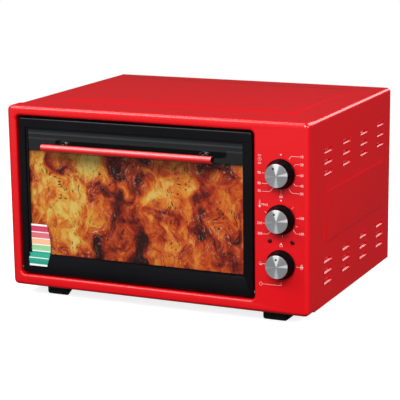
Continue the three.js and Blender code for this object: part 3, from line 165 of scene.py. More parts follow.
class Nodes:
    """A node tree, grown by functions that hand back the new node or its output."""

    def __init__(self, tree):
        self.tree = tree

    def feed_all(self, node, sockets):
        for key, value in sockets.items():
            if isinstance(value, bpy.types.NodeSocket):
                self.tree.links.new(value, node.inputs[key])
            else:
                node.inputs[key].default_value = value

    def put(self, kind, sockets, **settings):
        node = self.tree.nodes.new(kind)
        for key, value in settings.items():
            setattr(node, key, value)
        self.feed_all(node, sockets)
        return node

    def math(self, operation, a, b=0.0):
        return self.put("ShaderNodeMath", {0: a, 1: b}, operation=operation).outputs[0]

    def add(self, a, b):
        return self.math("ADD", a, b)

    def times(self, a, b):
        return self.math("MULTIPLY", a, b)

    def spread(self, value, low, high, to_low=0.0, to_high=1.0):
        return self.put("ShaderNodeMapRange", {
            "Value": value, "From Min": low, "From Max": high, "To Min": to_low,
            "To Max": to_high}).outputs[0]

    def axes(self, place):
        return self.put("ShaderNodeSeparateXYZ", {"Vector": place}).outputs


class Recipe(Nodes):
    """One finish's node tree. It reads the object's own coordinates, in metres."""

    def __init__(self, name, fixed):
        self.material = bpy.data.materials.new(f"oven_{name}")
        self.material.use_nodes = True
        super().__init__(self.material.node_tree)
        self.shader = self.tree.nodes["Principled BSDF"]
        self.place = self.tree.nodes.new("ShaderNodeTexCoord").outputs["Object"]
        self.feed_all(self.shader, fixed)

    def noise(self, scale, detail=2.0, roughness=0.5, place=None, distortion=0.0, output="Fac"):
        return self.put("ShaderNodeTexNoise", {
            "Vector": place or self.place, "Scale": scale, "Detail": detail,
            "Roughness": roughness, "Distortion": distortion}).outputs[output]

    def cells(self, scale, output="Distance", feature="F1", place=None):
        return self.put("ShaderNodeTexVoronoi", {
            "Vector": place or self.place, "Scale": scale}, feature=feature).outputs[output]

    def mottle(self, scale, detail, to_low=0.0, to_high=1.0, roughness=0.5):
        """A noise brought from its usual span to a span of its own."""
        return self.spread(self.noise(scale, detail, roughness), *NOISE_SPAN, to_low, to_high)

    def blend(self, share, a, b, mode="MIX"):
        return self.put(
            "ShaderNodeMix", {0: share, 6: rgba(a), 7: rgba(b)}, data_type="RGBA",
            blend_type=mode).outputs[2]

    def ramp(self, value, *stops, steps=False):
        node = self.put("ShaderNodeValToRGB", {"Fac": value})
        node.color_ramp.interpolation = "CONSTANT" if steps else "LINEAR"
        elements = node.color_ramp.elements
        while len(elements) < len(stops):
            elements.new(0.5)
        for element, (position, colour) in zip(elements, stops):
            element.position = position
            element.color = rgba(colour)
        return node.outputs["Color"]

    def vector(self, operation, a, b=(0, 0, 0)):
        node = self.put("ShaderNodeVectorMath", {0: a, 1: b}, operation=operation)
        return node.outputs["Value" if operation == "LENGTH" else 0]

    def away_from(self, axis):
        """The way from an axis along Y, in the upright plane."""
        return self.vector("MULTIPLY", self.vector("SUBTRACT", self.place, tuple(axis)), (1, 0, 1))

    def joined(self, x, y):
        return self.put("ShaderNodeCombineXYZ", {"X": x, "Y": y}).outputs[0]

    def stretched(self, scale):
        return self.put("ShaderNodeMapping", {"Vector": self.place, "Scale": scale}).outputs[0]

    def finished(self, colour, roughness, *layers, **others):
        """The material, with its relief built up from (height, depth in metres) layers."""
        self.feed_all(self.shader, {"Base Color": colour, "Roughness": roughness, **others})
        below = {}
        for height, depth in layers:
            bump = self.put("ShaderNodeBump", {"Height": height, "Distance": depth, **below})
            below = {"Normal": bump.outputs["Normal"]}
        self.feed_all(self.shader, below)
        return self.material


# Finishes, one for each material slot of the record and for the print, the label and the dots

def red_enamel(name="red_enamel", sheen=0.2, coat=0.6, roughness=0.27):
    paint = colours().paint
    recipe = Recipe(name, {
        "Specular IOR Level": sheen, "Coat Weight": coat, "Coat Roughness": 0.06})
    tone = recipe.blend(recipe.mottle(4.0, 3.0, roughness=0.55), shaded(paint, 0.95), paint)
    fine = recipe.mottle(1500.0, 2.0, 0.0, 0.10, 0.6)
    return recipe.finished(
        recipe.blend(fine, tone, shaded(paint, 0.85)),
        recipe.spread(recipe.noise(38.0, 4.0), *WIDE_SPAN, roughness, roughness + 0.06),
        (recipe.noise(520.0), 0.003 * MM))


def handle_enamel():
    return red_enamel("handle_enamel", sheen=1.0, coat=0.8, roughness=0.34)


def gloss_black(name, black, fixed, drift, gloss, grain, depth):
    """A deep black. Drift and gloss are (scale, detail), and gloss ends in its roughnesses."""
    recipe = Recipe(name, fixed)
    scale, detail, smoothest, roughest = gloss
    return recipe.finished(
        recipe.blend(recipe.mottle(*drift), black, shaded(black, 1.5)),
        recipe.spread(recipe.noise(scale, detail), *WIDE_SPAN, smoothest, roughest),
        (recipe.noise(grain), depth))


def black_enamel():
    return gloss_black(
        "black_enamel", colours().door_black, {"Specular IOR Level": 0.18},
        (9.0, 3.0), (60.0, 4.0, 0.13, 0.2), 1300.0, 0.004 * MM)


def knob_plastic():
    return gloss_black(
        "knob_plastic", colours().knob_black, {"Specular IOR Level": 0.04, "IOR": 1.49},
        (30.0, 3.0), (85.0, 4.0, 0.16, 0.26), 900.0, 0.006 * MM)


def speckled_enamel(name, ground, speck, density, roughness):
    """Enamel with pale specks in a share of its cells, from 0 to 1."""
    recipe = Recipe(name, {"Coat Weight": 0.5, "Coat Roughness": 0.1})
    cell_scale = 620.0
    dots = recipe.spread(recipe.cells(cell_scale), 0.10, 0.22, 1.0, 0.0)
    chosen = recipe.axes(recipe.cells(cell_scale, "Color"))[0]
    dots = recipe.times(dots, recipe.math("GREATER_THAN", chosen, 1 - density))
    drift = recipe.blend(recipe.mottle(14.0, 4.0), ground, shaded(ground, 1.35))
    return recipe.finished(
        recipe.blend(dots, drift, speck),
        recipe.mottle(45.0, 3.0, roughness, roughness + 0.1),
        (recipe.noise(230.0, 3.0), 0.03 * MM))


def galvanised_sheet():
    """Zinc with crystal flakes, each of one tone and darker along its edges."""
    recipe = Recipe("galvanised_sheet", {"Metallic": 0.5})
    flake_scale = 115.0
    light = recipe.axes(recipe.cells(flake_scale, "Color"))[0]
    edges = recipe.spread(
        recipe.cells(flake_scale, feature="DISTANCE_TO_EDGE"), 0.0, 0.08, 0.78, 1.0)
    tone = recipe.ramp(
        light, (0.0, (0.46, 0.47, 0.48)), (0.5, (0.57, 0.58, 0.59)), (1.0, (0.70, 0.71, 0.71)))
    return recipe.finished(
        recipe.blend(edges, (0.36, 0.37, 0.38), tone),
        recipe.spread(light, 0.0, 1.0, 0.30, 0.48),
        (light, 0.01 * MM), (recipe.noise(700.0), 0.008 * MM))


def plated_steel(name, light, dark, roughness):
    """Plated metal with drawing lines along X."""
    recipe = Recipe(name, {"Metallic": 1.0})
    drift = recipe.mottle(45.0, 4.0, roughness=0.6)
    lines = recipe.noise(1.0, 3.0, 0.6, place=recipe.stretched((90.0, 1400.0, 1400.0)))
    return recipe.finished(
        recipe.blend(drift, dark, light),
        recipe.spread(lines, *NOISE_SPAN, roughness, roughness + 0.14),
        (lines, 0.006 * MM))


def chrome():
    recipe = Recipe("chrome", {"Metallic": 1.0})
    return recipe.finished(
        recipe.blend(recipe.mottle(70.0, 3.0), (0.70, 0.71, 0.73), (0.80, 0.81, 0.82)),
        recipe.mottle(240.0, 3.0, 0.08, 0.17),
        (recipe.noise(500.0), 0.004 * MM))


def post_plating_with_highlight(side):
    """Dark plating on a handle post, with a painted highlight round the edge of its collar."""
    node = f"handle_post_{side}"
    recipe = Recipe(f"post_plating_with_highlight_{side}", {"Metallic": 1.0})
    away = recipe.vector("LENGTH", recipe.away_from(middle_of(node)))
    # Painted highlight: a bright ring round the edge of the collar, added to the plating's colour
    collar_highlight = recipe.spread(away, radius_of(node) - 1.9 * MM, radius_of(node) - 1.2 * MM)
    tone = recipe.blend(collar_highlight, (0.015, 0.015, 0.017), (0.42, 0.42, 0.44))
    return recipe.finished(
        recipe.blend(1.0, tone, recipe.mottle(70.0, 3.0, 0.9, 1.0), "MULTIPLY"),
        recipe.mottle(240.0, 3.0, 0.20, 0.30),
        (recipe.noise(500.0), 0.004 * MM))


# Painted highlight wedges of a cap: the middle's turn and half the width in degrees, and the
# strength
CAP_HIGHLIGHT_WEDGES = ((0, 27, 0.85), (80, 13, 0.6), (180, 19, 0.36), (-97, 12, 0.15))
RINGS_PER_METRE = 2600.0
SECTORS_PER_RADIAN = 7.0


def spun_aluminium(name):
    """Circular brushing round a knob's axis, with a turned disc's fine lines, soft sectors and
    painted highlight wedges.
    """
    recipe = Recipe(f"spun_aluminium_{name}", {"Metallic": 0.45, "Anisotropic": 0.6})
    away = recipe.away_from(KNOB_AXES[name])
    radius = recipe.vector("LENGTH", away)
    x, _, z = recipe.axes(away)
    turn = recipe.math("ARCTAN2", x, z)
    rings = recipe.joined(recipe.times(radius, RINGS_PER_METRE), turn)
    lines = recipe.noise(1.0, 4.0, 0.7, place=rings)
    fans = recipe.joined(recipe.times(turn, SECTORS_PER_RADIAN), 3.0)
    sectors = recipe.noise(1.0, 3.0, 0.6, place=fans)
    light = recipe.add(recipe.times(sectors, 0.3), recipe.times(lines, 0.2))
    # Painted highlights: bright wedges added to the cap's colour
    for middle, half, strength in CAP_HIGHLIGHT_WEDGES:
        cosine = recipe.math("COSINE", recipe.math("SUBTRACT", turn, math.radians(middle)))
        painted_highlight = recipe.spread(
            recipe.math("ARCCOSINE", cosine), 0.3 * math.radians(half), math.radians(half),
            strength, 0.0)
        light = recipe.add(light, painted_highlight)
    tone = recipe.ramp(
        light, (0.1, (0.22, 0.23, 0.24)), (0.4, (0.38, 0.38, 0.39)), (1.0, (1.0, 1.0, 1.0)))
    return recipe.finished(
        tone, recipe.spread(lines, *NOISE_SPAN, 0.28, 0.40), (lines, 0.006 * MM),
        Tangent=recipe.vector("NORMALIZE", away))


def element_sheath():
    """A heating element's oxidised tube."""
    recipe = Recipe("element_sheath", {"Metallic": 0.8})
    heat = recipe.noise(26.0, 5.0, 0.65)
    tone = recipe.ramp(
        heat, (0.25, (0.055, 0.045, 0.042)), (0.5, (0.12, 0.095, 0.08)),
        (0.75, (0.17, 0.15, 0.15)))
    scale = recipe.spread(recipe.noise(700.0, 4.0, 0.7), 0.45, 0.7)
    return recipe.finished(
        recipe.blend(scale, tone, (0.05, 0.045, 0.045)),
        recipe.spread(heat, *NOISE_SPAN, 0.38, 0.58),
        (recipe.noise(900.0, 4.0, 0.7), 0.02 * MM))


PANE_MARGIN = 2 * MM  # how far the pane's print covers the card's sides
PANE_FADE = 0.6 * MM
PANE_ALPHA = 0.13
# Faint painted highlight bands across the black print over the window: height and brightness
PANE_HIGHLIGHT_BANDS = ((263.4 * MM, 0.020), (255.5 * MM, 0.014))


def printed_glass():
    """Black print on the back of the pane with faint painted highlight bands, clear in the middle
    where the card shows through.
    """
    recipe = Recipe("printed_glass", {"Coat Weight": 0.1, "Coat Roughness": 0.03})
    x, _, z = recipe.axes(recipe.place)
    start, end, top_edge = CARD_LOW.x + PANE_MARGIN, CARD_HIGH.x - PANE_MARGIN, CARD_HIGH.z - MM
    left = recipe.spread(x, start - PANE_FADE, start)
    right = recipe.spread(x, end, end + PANE_FADE, 1.0, 0.0)
    top = recipe.spread(z, top_edge - PANE_FADE, top_edge, 1.0, 0.0)
    clear = recipe.times(recipe.times(left, right), top)
    # Painted highlights: faint pale bands added to the black print
    bands = 0.0
    for height, strength in PANE_HIGHLIGHT_BANDS:
        apart = recipe.math("ABSOLUTE", recipe.math("SUBTRACT", z, height))
        bands = recipe.add(recipe.spread(apart, 0.9 * MM, 1.9 * MM, strength, 0.0), bands)
    tone = recipe.add(recipe.times(bands, recipe.mottle(30.0, 4.0, 0.9, 1.1)), 0.0055)
    return recipe.finished(
        recipe.blend(1.0, (0.96, 1.0, 1.04), tone, "MULTIPLY"),
        recipe.mottle(22.0, 4.0, 0.03, 0.06),
        Alpha=recipe.spread(clear, 0.0, 1.0, 1.0, PANE_ALPHA))


# The card's tones from burnt to golden
CRUST_TONES = (
    (0.05, (0.03, 0.003, 0.002)), (0.22, (0.20, 0.012, 0.005)), (0.40, (0.56, 0.055, 0.012)),
    (0.58, (0.86, 0.17, 0.020)), (0.76, (0.98, 0.42, 0.045)), (0.94, (1.0, 0.72, 0.16)))
SEED_SCALE = 230.0
SEED_SHARE = 0.58
WARP_DEPTH = 0.05
SHADE_DEPTH = 20 * MM  # how far the door's shade reaches down the card


def roast_print():
    """A field of browned tones with specks and glints on the card's front, plain board behind."""
    recipe = Recipe("roast_print", {"Specular IOR Level": 0.35})
    swirl = recipe.vector("SUBTRACT", recipe.noise(24.0, output="Color"), (0.5, 0.5, 0.5))
    warp = recipe.vector("MULTIPLY", swirl, (WARP_DEPTH,) * 3)
    bent = recipe.vector("ADD", recipe.stretched((1.0, 1.0, 0.75)), warp)
    x, y, z = recipe.axes(recipe.place)

    zones = recipe.spread(
        recipe.noise(11.0, 3.0, place=bent, distortion=0.7), *NOISE_SPAN, -0.24, 0.24)
    lumps = recipe.spread(recipe.cells(17.0, place=bent), 0.0, 0.9, 0.16, -0.20)
    creases = recipe.spread(
        recipe.cells(9.0, feature="DISTANCE_TO_EDGE", place=bent), 0.0, 0.10, -0.30, 0.0)
    browned = recipe.spread(
        recipe.noise(46.0, 9.0, 0.72, place=bent, distortion=0.5), *WIDE_SPAN, -0.50, 0.50)
    across = recipe.add(
        recipe.spread(z, 0.075, 0.235, -0.13, 0.11), recipe.spread(x, -0.21, 0.15, 0.0, -0.05))
    total = recipe.add(recipe.add(zones, lumps), recipe.add(creases, browned))
    crust = recipe.ramp(recipe.add(recipe.add(total, across), 0.62), *CRUST_TONES)
    redder = recipe.blend(
        recipe.spread(x, -0.06, 0.13, 0.0, 0.6), crust, (0.98, 0.50, 0.50), "MULTIPLY")

    seed_place = recipe.vector("MULTIPLY", bent, (1.0, 1.0, 0.55))
    kind = recipe.axes(recipe.cells(SEED_SCALE, "Color", place=seed_place))[0]
    specks = recipe.times(
        recipe.spread(recipe.cells(SEED_SCALE, place=seed_place), 0.22, 0.38, 1.0, 0.0),
        recipe.math("GREATER_THAN", kind, 1 - SEED_SHARE))
    clusters = recipe.spread(recipe.noise(17.0, 3.0), 0.40, 0.58)
    specks = recipe.times(specks, recipe.add(recipe.times(clusters, 0.8), 0.15))
    shine = recipe.spread(recipe.noise(13.0, place=recipe.stretched((1.0, 1.0, 1.4))), 0.46, 0.62)
    glints = recipe.times(
        recipe.spread(recipe.noise(210.0, 5.0, 0.75, place=bent), 0.56, 0.68, 0.0, 0.85),
        recipe.add(recipe.times(shine, 0.85), 0.12))
    glossy = recipe.blend(glints, redder, (1.0, 0.80, 0.52))
    seasoned = recipe.blend(specks, glossy, (0.030, 0.012, 0.005))

    shade = recipe.spread(z, CARD_HIGH.z - SHADE_DEPTH, CARD_HIGH.z, 1.0, 0.55)
    behind = recipe.math("GREATER_THAN", y, middle_of("window_card").y)
    board = recipe.blend(
        recipe.mottle(260.0, 4.0, roughness=0.7), (0.40, 0.37, 0.33), (0.52, 0.49, 0.45))
    return recipe.finished(
        recipe.blend(behind, recipe.blend(1.0, seasoned, shade, "MULTIPLY"), board),
        recipe.mottle(400.0, 2.0, 0.42, 0.55),
        (recipe.noise(1800.0), 0.006 * MM))


def moulded(name, tone, roughness, grain, depth):
    """A matt moulding of one tone, whose grain is a noise's scale with a depth in metres."""
    recipe = Recipe(name, {"Specular IOR Level": 0.4})
    return recipe.finished(
        recipe.blend(recipe.mottle(28.0, 4.0, roughness=0.6), shaded(tone, 0.8), shaded(tone, 1.2)),
        recipe.mottle(grain / 4, 3.0, roughness - 0.06, roughness + 0.06),
        (recipe.noise(grain, 3.0, 0.6), depth))


def lamp_red():
    recipe = Recipe("lamp_red", {
        "Transmission Weight": 0.2, "IOR": 1.49, "Specular IOR Level": 0.25,
        "Coat Weight": 0.1, "Coat Roughness": 0.1})
    return recipe.finished(
        recipe.blend(recipe.mottle(260.0, 3.0), (0.05, 0.0015, 0.002), (0.10, 0.003, 0.004)),
        recipe.mottle(500.0, 2.0, 0.16, 0.26),
        (recipe.cells(900.0), 0.02 * MM))


def loom_sleeve():
    """The wiring's woven sleeve."""
    recipe = Recipe("loom_sleeve", {"Sheen Weight": 0.25, "Specular IOR Level": 0.3})
    waves = [recipe.put("ShaderNodeTexWave", {
        "Vector": recipe.place, "Scale": 160.0, "Distortion": 0.4, "Detail": 1.0},
        wave_type="BANDS", bands_direction=way).outputs["Fac"] for way in ("DIAGONAL", "Y")]
    weave = recipe.times(*waves)
    return recipe.finished(
        recipe.ramp(weave, (0.0, (0.15, 0.020, 0.014)), (1.0, (0.46, 0.085, 0.06))),
        recipe.spread(weave, 0.0, 1.0, 0.85, 0.6),
        (weave, 0.12 * MM))


def print_ink():
    """Thin ink that lets a little of the paint through."""
    recipe = Recipe("print_ink", {"Specular IOR Level": 0.35})
    thin = recipe.spread(recipe.noise(900.0, 3.0, 0.6), 0.35, 0.75, 0.0, 0.15)
    return recipe.finished(
        recipe.blend(thin, colours().print_ink, colours().paint),
        recipe.mottle(300.0, 2.0, 0.38, 0.5),
        (recipe.noise(1500.0), 0.01 * MM))


LABEL_TOP = 118.5 * MM
LABEL_FOOT = 51.6 * MM
LABEL_WHITE = (0.92, 0.93, 0.92)
# The start of each band as a share of the label's height, from its foot, and its colour
LABEL_BANDS = (
    (0.000, (0.90, 0.91, 0.90)), (0.045, (0.007, 0.30, 0.20)), (0.185, LABEL_WHITE),
    (0.200, (0.008, 0.32, 0.21)), (0.340, LABEL_WHITE), (0.362, (0.30, 0.60, 0.30)),
    (0.495, LABEL_WHITE), (0.515, (0.93, 0.50, 0.27)), (0.645, LABEL_WHITE),
    (0.665, (0.70, 0.15, 0.18)), (0.800, LABEL_WHITE), (0.820, (0.64, 0.045, 0.105)),
    (0.955, LABEL_WHITE),
)


def label_film():
    """Plain colour bands with white rules between them."""
    recipe = Recipe("label_film", {"Coat Weight": 0.5, "Coat Roughness": 0.12})
    height = recipe.spread(recipe.axes(recipe.place)[2], LABEL_FOOT, LABEL_TOP)
    bands = recipe.ramp(height, *LABEL_BANDS, steps=True)
    worn = recipe.spread(recipe.noise(800.0, 3.0, 0.6), 0.55, 0.8, 0.0, 0.18)
    return recipe.finished(
        recipe.blend(worn, bands, (0.9, 0.9, 0.88)),
        recipe.mottle(220.0, 2.0, 0.32, 0.42),
        (recipe.noise(120.0), 0.02 * MM))


# The function that makes each finish, with its settings if several finishes share it
FINISHES = {
    "red_paint": (red_enamel,), "black_enamel": (black_enamel,), "chrome": (chrome,),
    "galvanised_sheet": (galvanised_sheet,), "element_sheath": (element_sheath,),
    "door_glass": (printed_glass,), "window_card": (roast_print,), "knob_plastic": (knob_plastic,),
    "pilot_red": (lamp_red,), "loom_sleeve": (loom_sleeve,), "print_ink": (print_ink,),
    "label_film": (label_film,),
    "tray_enamel": (speckled_enamel, (0.010, 0.010, 0.012), (0.5, 0.5, 0.52), 0.35, 0.16),
    "cavity_enamel": (speckled_enamel, (0.036, 0.038, 0.046), (0.33, 0.34, 0.37), 0.5, 0.22),
    "bright_steel": (plated_steel, (0.66, 0.66, 0.65), (0.50, 0.50, 0.49), 0.26),
    "bell_steel": (plated_steel, (0.64, 0.62, 0.58), (0.52, 0.50, 0.47), 0.18),
    "capillary_copper": (plated_steel, (0.72, 0.42, 0.28), (0.48, 0.24, 0.15), 0.25),
    "black_plastic": (moulded, (0.014, 0.014, 0.015), 0.45, 1100.0, 0.02 * MM),
    "foot_rubber": (moulded, (0.006, 0.006, 0.0065), 0.75, 1300.0, 0.04 * MM),
    "seal_silicone": (moulded, (0.045, 0.045, 0.047), 0.55, 800.0, 0.03 * MM),
    "porcelain": (moulded, (0.66, 0.63, 0.57), 0.5, 950.0, 0.02 * MM),
    "dot_black": (moulded, (0.006, 0.006, 0.006), 0.5, 1500.0, 0.01 * MM),
}
MADE = {}


def finish(slot):
    """The material of a finish, made once."""
    if slot not in MADE:
        make, *settings = FINISHES[slot]
        MADE[slot] = make(slot, *settings) if settings else make()
    return MADE[slot]


# Modelling

def set_shading(shape, limit):
    """Shades a shape smooth, except across edges sharper than the limit in degrees."""
    for face in shape.faces:
        face.smooth = True
    for edge in shape.edges:
        edge.smooth = edge.is_manifold and edge.calc_face_angle(math.pi) < math.radians(limit)


def mesh_of(name, shape):
    mesh = bpy.data.meshes.new(name)
    shape.to_mesh(mesh)
    shape.free()
    return mesh


def placed(name, data):
    item = bpy.data.objects.new(name, data)
    bpy.context.scene.collection.objects.link(item)
    return item


def piece_from(name, shape, material, body, limit, stands_for=()):
    """Turns a finished shape into a piece that rides on a body. Its object stays at the origin."""
    set_shading(shape, limit)
    mesh = mesh_of(name, shape)
    for spare in ("custom_normal", "sharp_face"):
        if spare in mesh.attributes:
            mesh.attributes.remove(mesh.attributes[spare])
    mesh.materials.append(material)
    piece = placed(name, mesh)
    piece.modifiers.new("even_shading", "WEIGHTED_NORMAL").keep_sharp = True
    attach(piece, body)
    if stands_for:
        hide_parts(*stands_for)
    return piece


def dress(node, material=None, limit=SHEET_LIMIT):
    """A merged copy of a CAD node, with its round faces shaded smooth, in its slot's finish."""
    shape = bmesh.new()
    shape.from_mesh(frame["nodes"][node].data)
    bmesh.ops.remove_doubles(shape, verts=shape.verts, dist=MERGE_DISTANCE)
    bmesh.ops.dissolve_degenerate(shape, edges=shape.edges, dist=SLIVER_LENGTH)
    slot = SLOT_OF[node]
    return piece_from(
        f"{node}_dressed", shape, material or finish(slot), BODY_OF[node], limit, (node,))


def dress_all(*nodes):
    for node in nodes:
        dress(node)


def spin_profile(points, axis, steps):
    """A closed shape turned about an axis through the origin from points in a plane through it."""
    shape = bmesh.new()
    verts = [shape.verts.new(point) for point in points]
    lines = [shape.edges.new(pair) for pair in zip(verts, verts[1:])]
    bmesh.ops.spin(
        shape, geom=verts + lines, cent=(0, 0, 0), axis=axis, angle=2 * math.pi, steps=steps,
        use_merge=True)
    bmesh.ops.remove_doubles(shape, verts=shape.verts, dist=MERGE_DISTANCE)
    bmesh.ops.recalc_face_normals(shape, faces=shape.faces)
    return shape


def turned(profile, place, steps):
    """A body turned about an axis along Y from (radius, distance in front of its place) points."""
    shape = spin_profile([(radius, -forward, 0) for radius, forward in profile], (0, 1, 0), steps)
    bmesh.ops.translate(shape, verts=shape.verts, vec=place)
    return shape


def ease_edges(shape, width, segments, sharper_than=30.0):
    """Rounds off every edge sharper than an angle in degrees."""
    limit = math.radians(sharper_than)
    edges = [edge for edge in shape.edges if edge.is_manifold and edge.calc_face_angle(0) > limit]
    bmesh.ops.bevel(
        shape, geom=edges, offset=width, offset_type="OFFSET", segments=segments, profile=0.5,
        affect="EDGES", clamp_overlap=True, material=-1)


def print_place(x, z, thickness):
    return Matrix.Translation((x, FASCIA - thickness / 2, z))


def stroke(shape, points, width, thickness):
    """Straight printed strokes between (x, z) points on the fascia."""
    for (x0, z0), (x1, z1) in zip(points, points[1:]):
        length = math.hypot(x1 - x0, z1 - z0) + width
        turn = Matrix.Rotation(-math.atan2(z1 - z0, x1 - x0), 4, "Y")
        size = Matrix.Diagonal((length, thickness, width, 1))
        spot = print_place((x0 + x1) / 2, (z0 + z1) / 2, thickness)
        bmesh.ops.create_cube(shape, size=1, matrix=spot @ turn @ size)


def disc(shape, x, z, radius, thickness, corners, turn):
    """A printed spot on the fascia, or with three or four corners a triangle or a diamond."""
    place = print_place(x, z, thickness) @ Matrix.Rotation(turn, 4, "Y")
    bmesh.ops.create_cone(
        shape, cap_ends=True, segments=corners, radius1=radius, radius2=radius, depth=thickness,
        matrix=place @ Matrix.Rotation(math.pi / 2, 4, "X"))


FONT_SIZE = 1.38  # size of the built-in font whose figures are 1 high
FONT_GAIN = 0.012  # how much the figures are fattened, as a share of their height


def figures(shape, text, x, z, height, thickness):
    """Printed figures, centred on a point of the fascia."""
    curve = bpy.data.curves.new("figures", "FONT")
    curve.body = text
    curve.size = height * FONT_SIZE
    curve.align_x = curve.align_y = "CENTER"
    curve.extrude = thickness / 2
    curve.offset = height * FONT_GAIN
    curve.resolution_u = 3
    written = placed("figures", curve)
    bpy.context.view_layer.update()
    mesh = bpy.data.meshes.new_from_object(
        written.evaluated_get(bpy.context.evaluated_depsgraph_get()))
    mesh.transform(print_place(x, z, thickness) @ Matrix.Rotation(math.pi / 2, 4, "X"))
    shape.from_mesh(mesh)
    bpy.data.objects.remove(written)
    bpy.data.curves.remove(curve)
    bpy.data.meshes.remove(mesh)


# A screw head's outline, as shares of its radius and height
SCREW_PROFILE = (
    (0, 0.80), (0.10, 0.80), (0.28, 0.86), (0.50, 0.84), (0.62, 0.80), (0.80, 0.66), (0.93, 0.40),
    (1.0, 0.12), (1.0, 0.0), (0, 0))
CROSS_REACH = 0.55  # the recess's arms, as a share of the head's radius
CROSS_HUB = 0.2
CROSS_SPREAD = 0.45  # sine of twice the angle that an arm takes up
CROSS_DEPTH = 0.55


def screw_head(shape, place, outward):
    """A domed screw head with a cross recess, whose seat is at a place and faces outward."""
    radius, height = sizes().screw_radius, sizes().screw_height
    head = spin_profile([(radius * r, 0, height * h) for r, h in SCREW_PROFILE], (0, 0, 1), 32)
    for vert in head.verts:
        across = math.hypot(vert.co.x, vert.co.y)
        off_arm = abs(math.sin(2 * math.atan2(vert.co.y, vert.co.x)))
        in_arm = across < CROSS_REACH * radius and off_arm < CROSS_SPREAD
        if vert.co.z > 0.5 * height and (in_arm or across < CROSS_HUB * radius):
            vert.co.z -= CROSS_DEPTH * height
    turn = Vector((0, 0, 1)).rotation_difference(Vector(outward)).to_matrix().to_4x4()
    bmesh.ops.transform(head, matrix=Matrix.Translation(place) @ turn, verts=head.verts)
    mesh = mesh_of("head", head)
    shape.from_mesh(mesh)
    bpy.data.meshes.remove(mesh)


# The pieces

class OVEN_OT_red_sheetwork(bpy.types.Operator):
    """Give the pressed front and the outer cover their gloss red enamel"""
    bl_idname = "oven.red_sheetwork"
    bl_label = "Red Sheetwork"

    def execute(self, context):
        dress_all("front_frame", "outer_cover")
        return {"FINISHED"}


class OVEN_OT_door(bpy.types.Operator):
    """Make the door: its black frame, printed pane, display card, inner panel and seal"""
    bl_idname = "oven.door"
    bl_label = "Door"

    def execute(self, context):
        dress_all("door_frame", "door_glass", "window_card", "door_inner_panel", "door_seal")
        return {"FINISHED"}


class OVEN_OT_handle(bpy.types.Operator):
    """Make the handle: its red bar, black backing, dark plated posts and screws"""
    bl_idname = "oven.handle"
    bl_label = "Handle"

    def execute(self, context):
        dress("handle_bar", handle_enamel(), ROD_LIMIT)
        dress("handle_backing")
        for side in SIDES:
            dress(f"handle_post_{side}", post_plating_with_highlight(side))
            dress(f"handle_screw_{side}")
        return {"FINISHED"}


class OVEN_OT_hinges(bpy.types.Operator):
    """Finish the door's hinge plates, bushes, levers and springs"""
    bl_idname = "oven.hinges"
    bl_label = "Hinges"

    def execute(self, context):
        for side in SIDES:
            dress_all(f"door_hinge_{side}", f"hinge_bush_{side}", f"hinge_lever_{side}")
            dress(f"door_spring_{side}", limit=ROD_LIMIT)
        return {"FINISHED"}


SKIRT_HEIGHT = 3.5 * MM
SKIRT_SLOPE = 1.3 * MM
KNOB_WALL = 2.2 * MM
SHAFT_BORE = 3.3 * MM
HUB_RADIUS = 7 * MM
BORE_DEPTH = 13.2 * MM
CAP_SEAT_WIDTH = 0.5 * MM
CAP_SEAT_DEPTH = 1.2 * MM
CAP_EDGE = 0.5 * MM
CAP_EDGE_SLOPE = 0.15 * MM
DOT_RADIUS = 1.7 * MM
DOT_OFFSET = 11.2 * MM  # from the knob's axis to the dot
DOT_TURNS = {"timer": -24, "thermostat": -17, "selector": -3}  # in degrees from the top


class OVEN_OT_knobs(bpy.types.Operator):
    """Turn the three gloss black knobs with their spun metal caps and pointer dots"""
    bl_idname = "oven.knobs"
    bl_label = "Knobs"

    def execute(self, context):
        size = sizes()
        radius, height, cap = size.knob_radius, size.knob_height, size.cap_radius
        inside = height - KNOB_WALL
        profile = [
            (0, BORE_DEPTH), (SHAFT_BORE, BORE_DEPTH), (SHAFT_BORE, 0), (HUB_RADIUS, 0),
            (HUB_RADIUS, inside), (cap - KNOB_WALL, inside), (radius - KNOB_WALL, 0), (radius, 0),
            (radius, SKIRT_HEIGHT), (radius - SKIRT_SLOPE, SKIRT_HEIGHT + SKIRT_SLOPE),
            (cap + CAP_SEAT_WIDTH, height - CAP_SEAT_DEPTH), (cap, height), (0, height)]
        for name in CONTROLS:
            node = f"knob_{name}"
            axis, body = KNOB_AXES[name], BODY_OF[node]
            knob = turned(profile, (axis.x, high_corner(node).y, axis.z), size.turning_steps)
            ease_edges(knob, 0.35 * MM, 3)
            piece_from(
                f"{node}_turned", knob, finish("knob_plastic"), body, KNOB_LIMIT,
                (node,))
            self.cap(name, axis, body, cap)
            dress(f"{name}_shaft")
        return {"FINISHED"}

    def cap(self, name, axis, body, radius):
        """The cap's disc, and the dot that shows where the knob points."""
        node = f"knob_cap_{name}"
        seat = high_corner(node).y
        thickness = seat - low_corner(node).y
        plate = turned(
            [(0, 0), (radius, 0), (radius, thickness - CAP_EDGE),
             (radius - CAP_EDGE_SLOPE, thickness - CAP_EDGE_SLOPE),
             (radius - CAP_EDGE, thickness), (0, thickness)],
            (axis.x, seat, axis.z), sizes().turning_steps)
        piece_from(
            f"{node}_spun", plate, spun_aluminium(name), body, KNOB_LIMIT,
            (node,))
        turn = math.radians(DOT_TURNS[name])
        spot = (axis.x + DOT_OFFSET * math.sin(turn), seat - thickness + 0.02 * MM,
                axis.z + DOT_OFFSET * math.cos(turn))
        dot = turned([(0, 0), (DOT_RADIUS, 0), (DOT_RADIUS, 0.05 * MM), (0, 0.07 * MM)], spot, 24)
        piece_from(f"{node}_dot", dot, finish("dot_black"), body, SHEET_LIMIT)


LEADER_SLOPE = 0.75
LEADER_ENDS = (28.8, -29.8)  # to the right and to the left
FIGURE_PLACES = (32.0, -34.0)
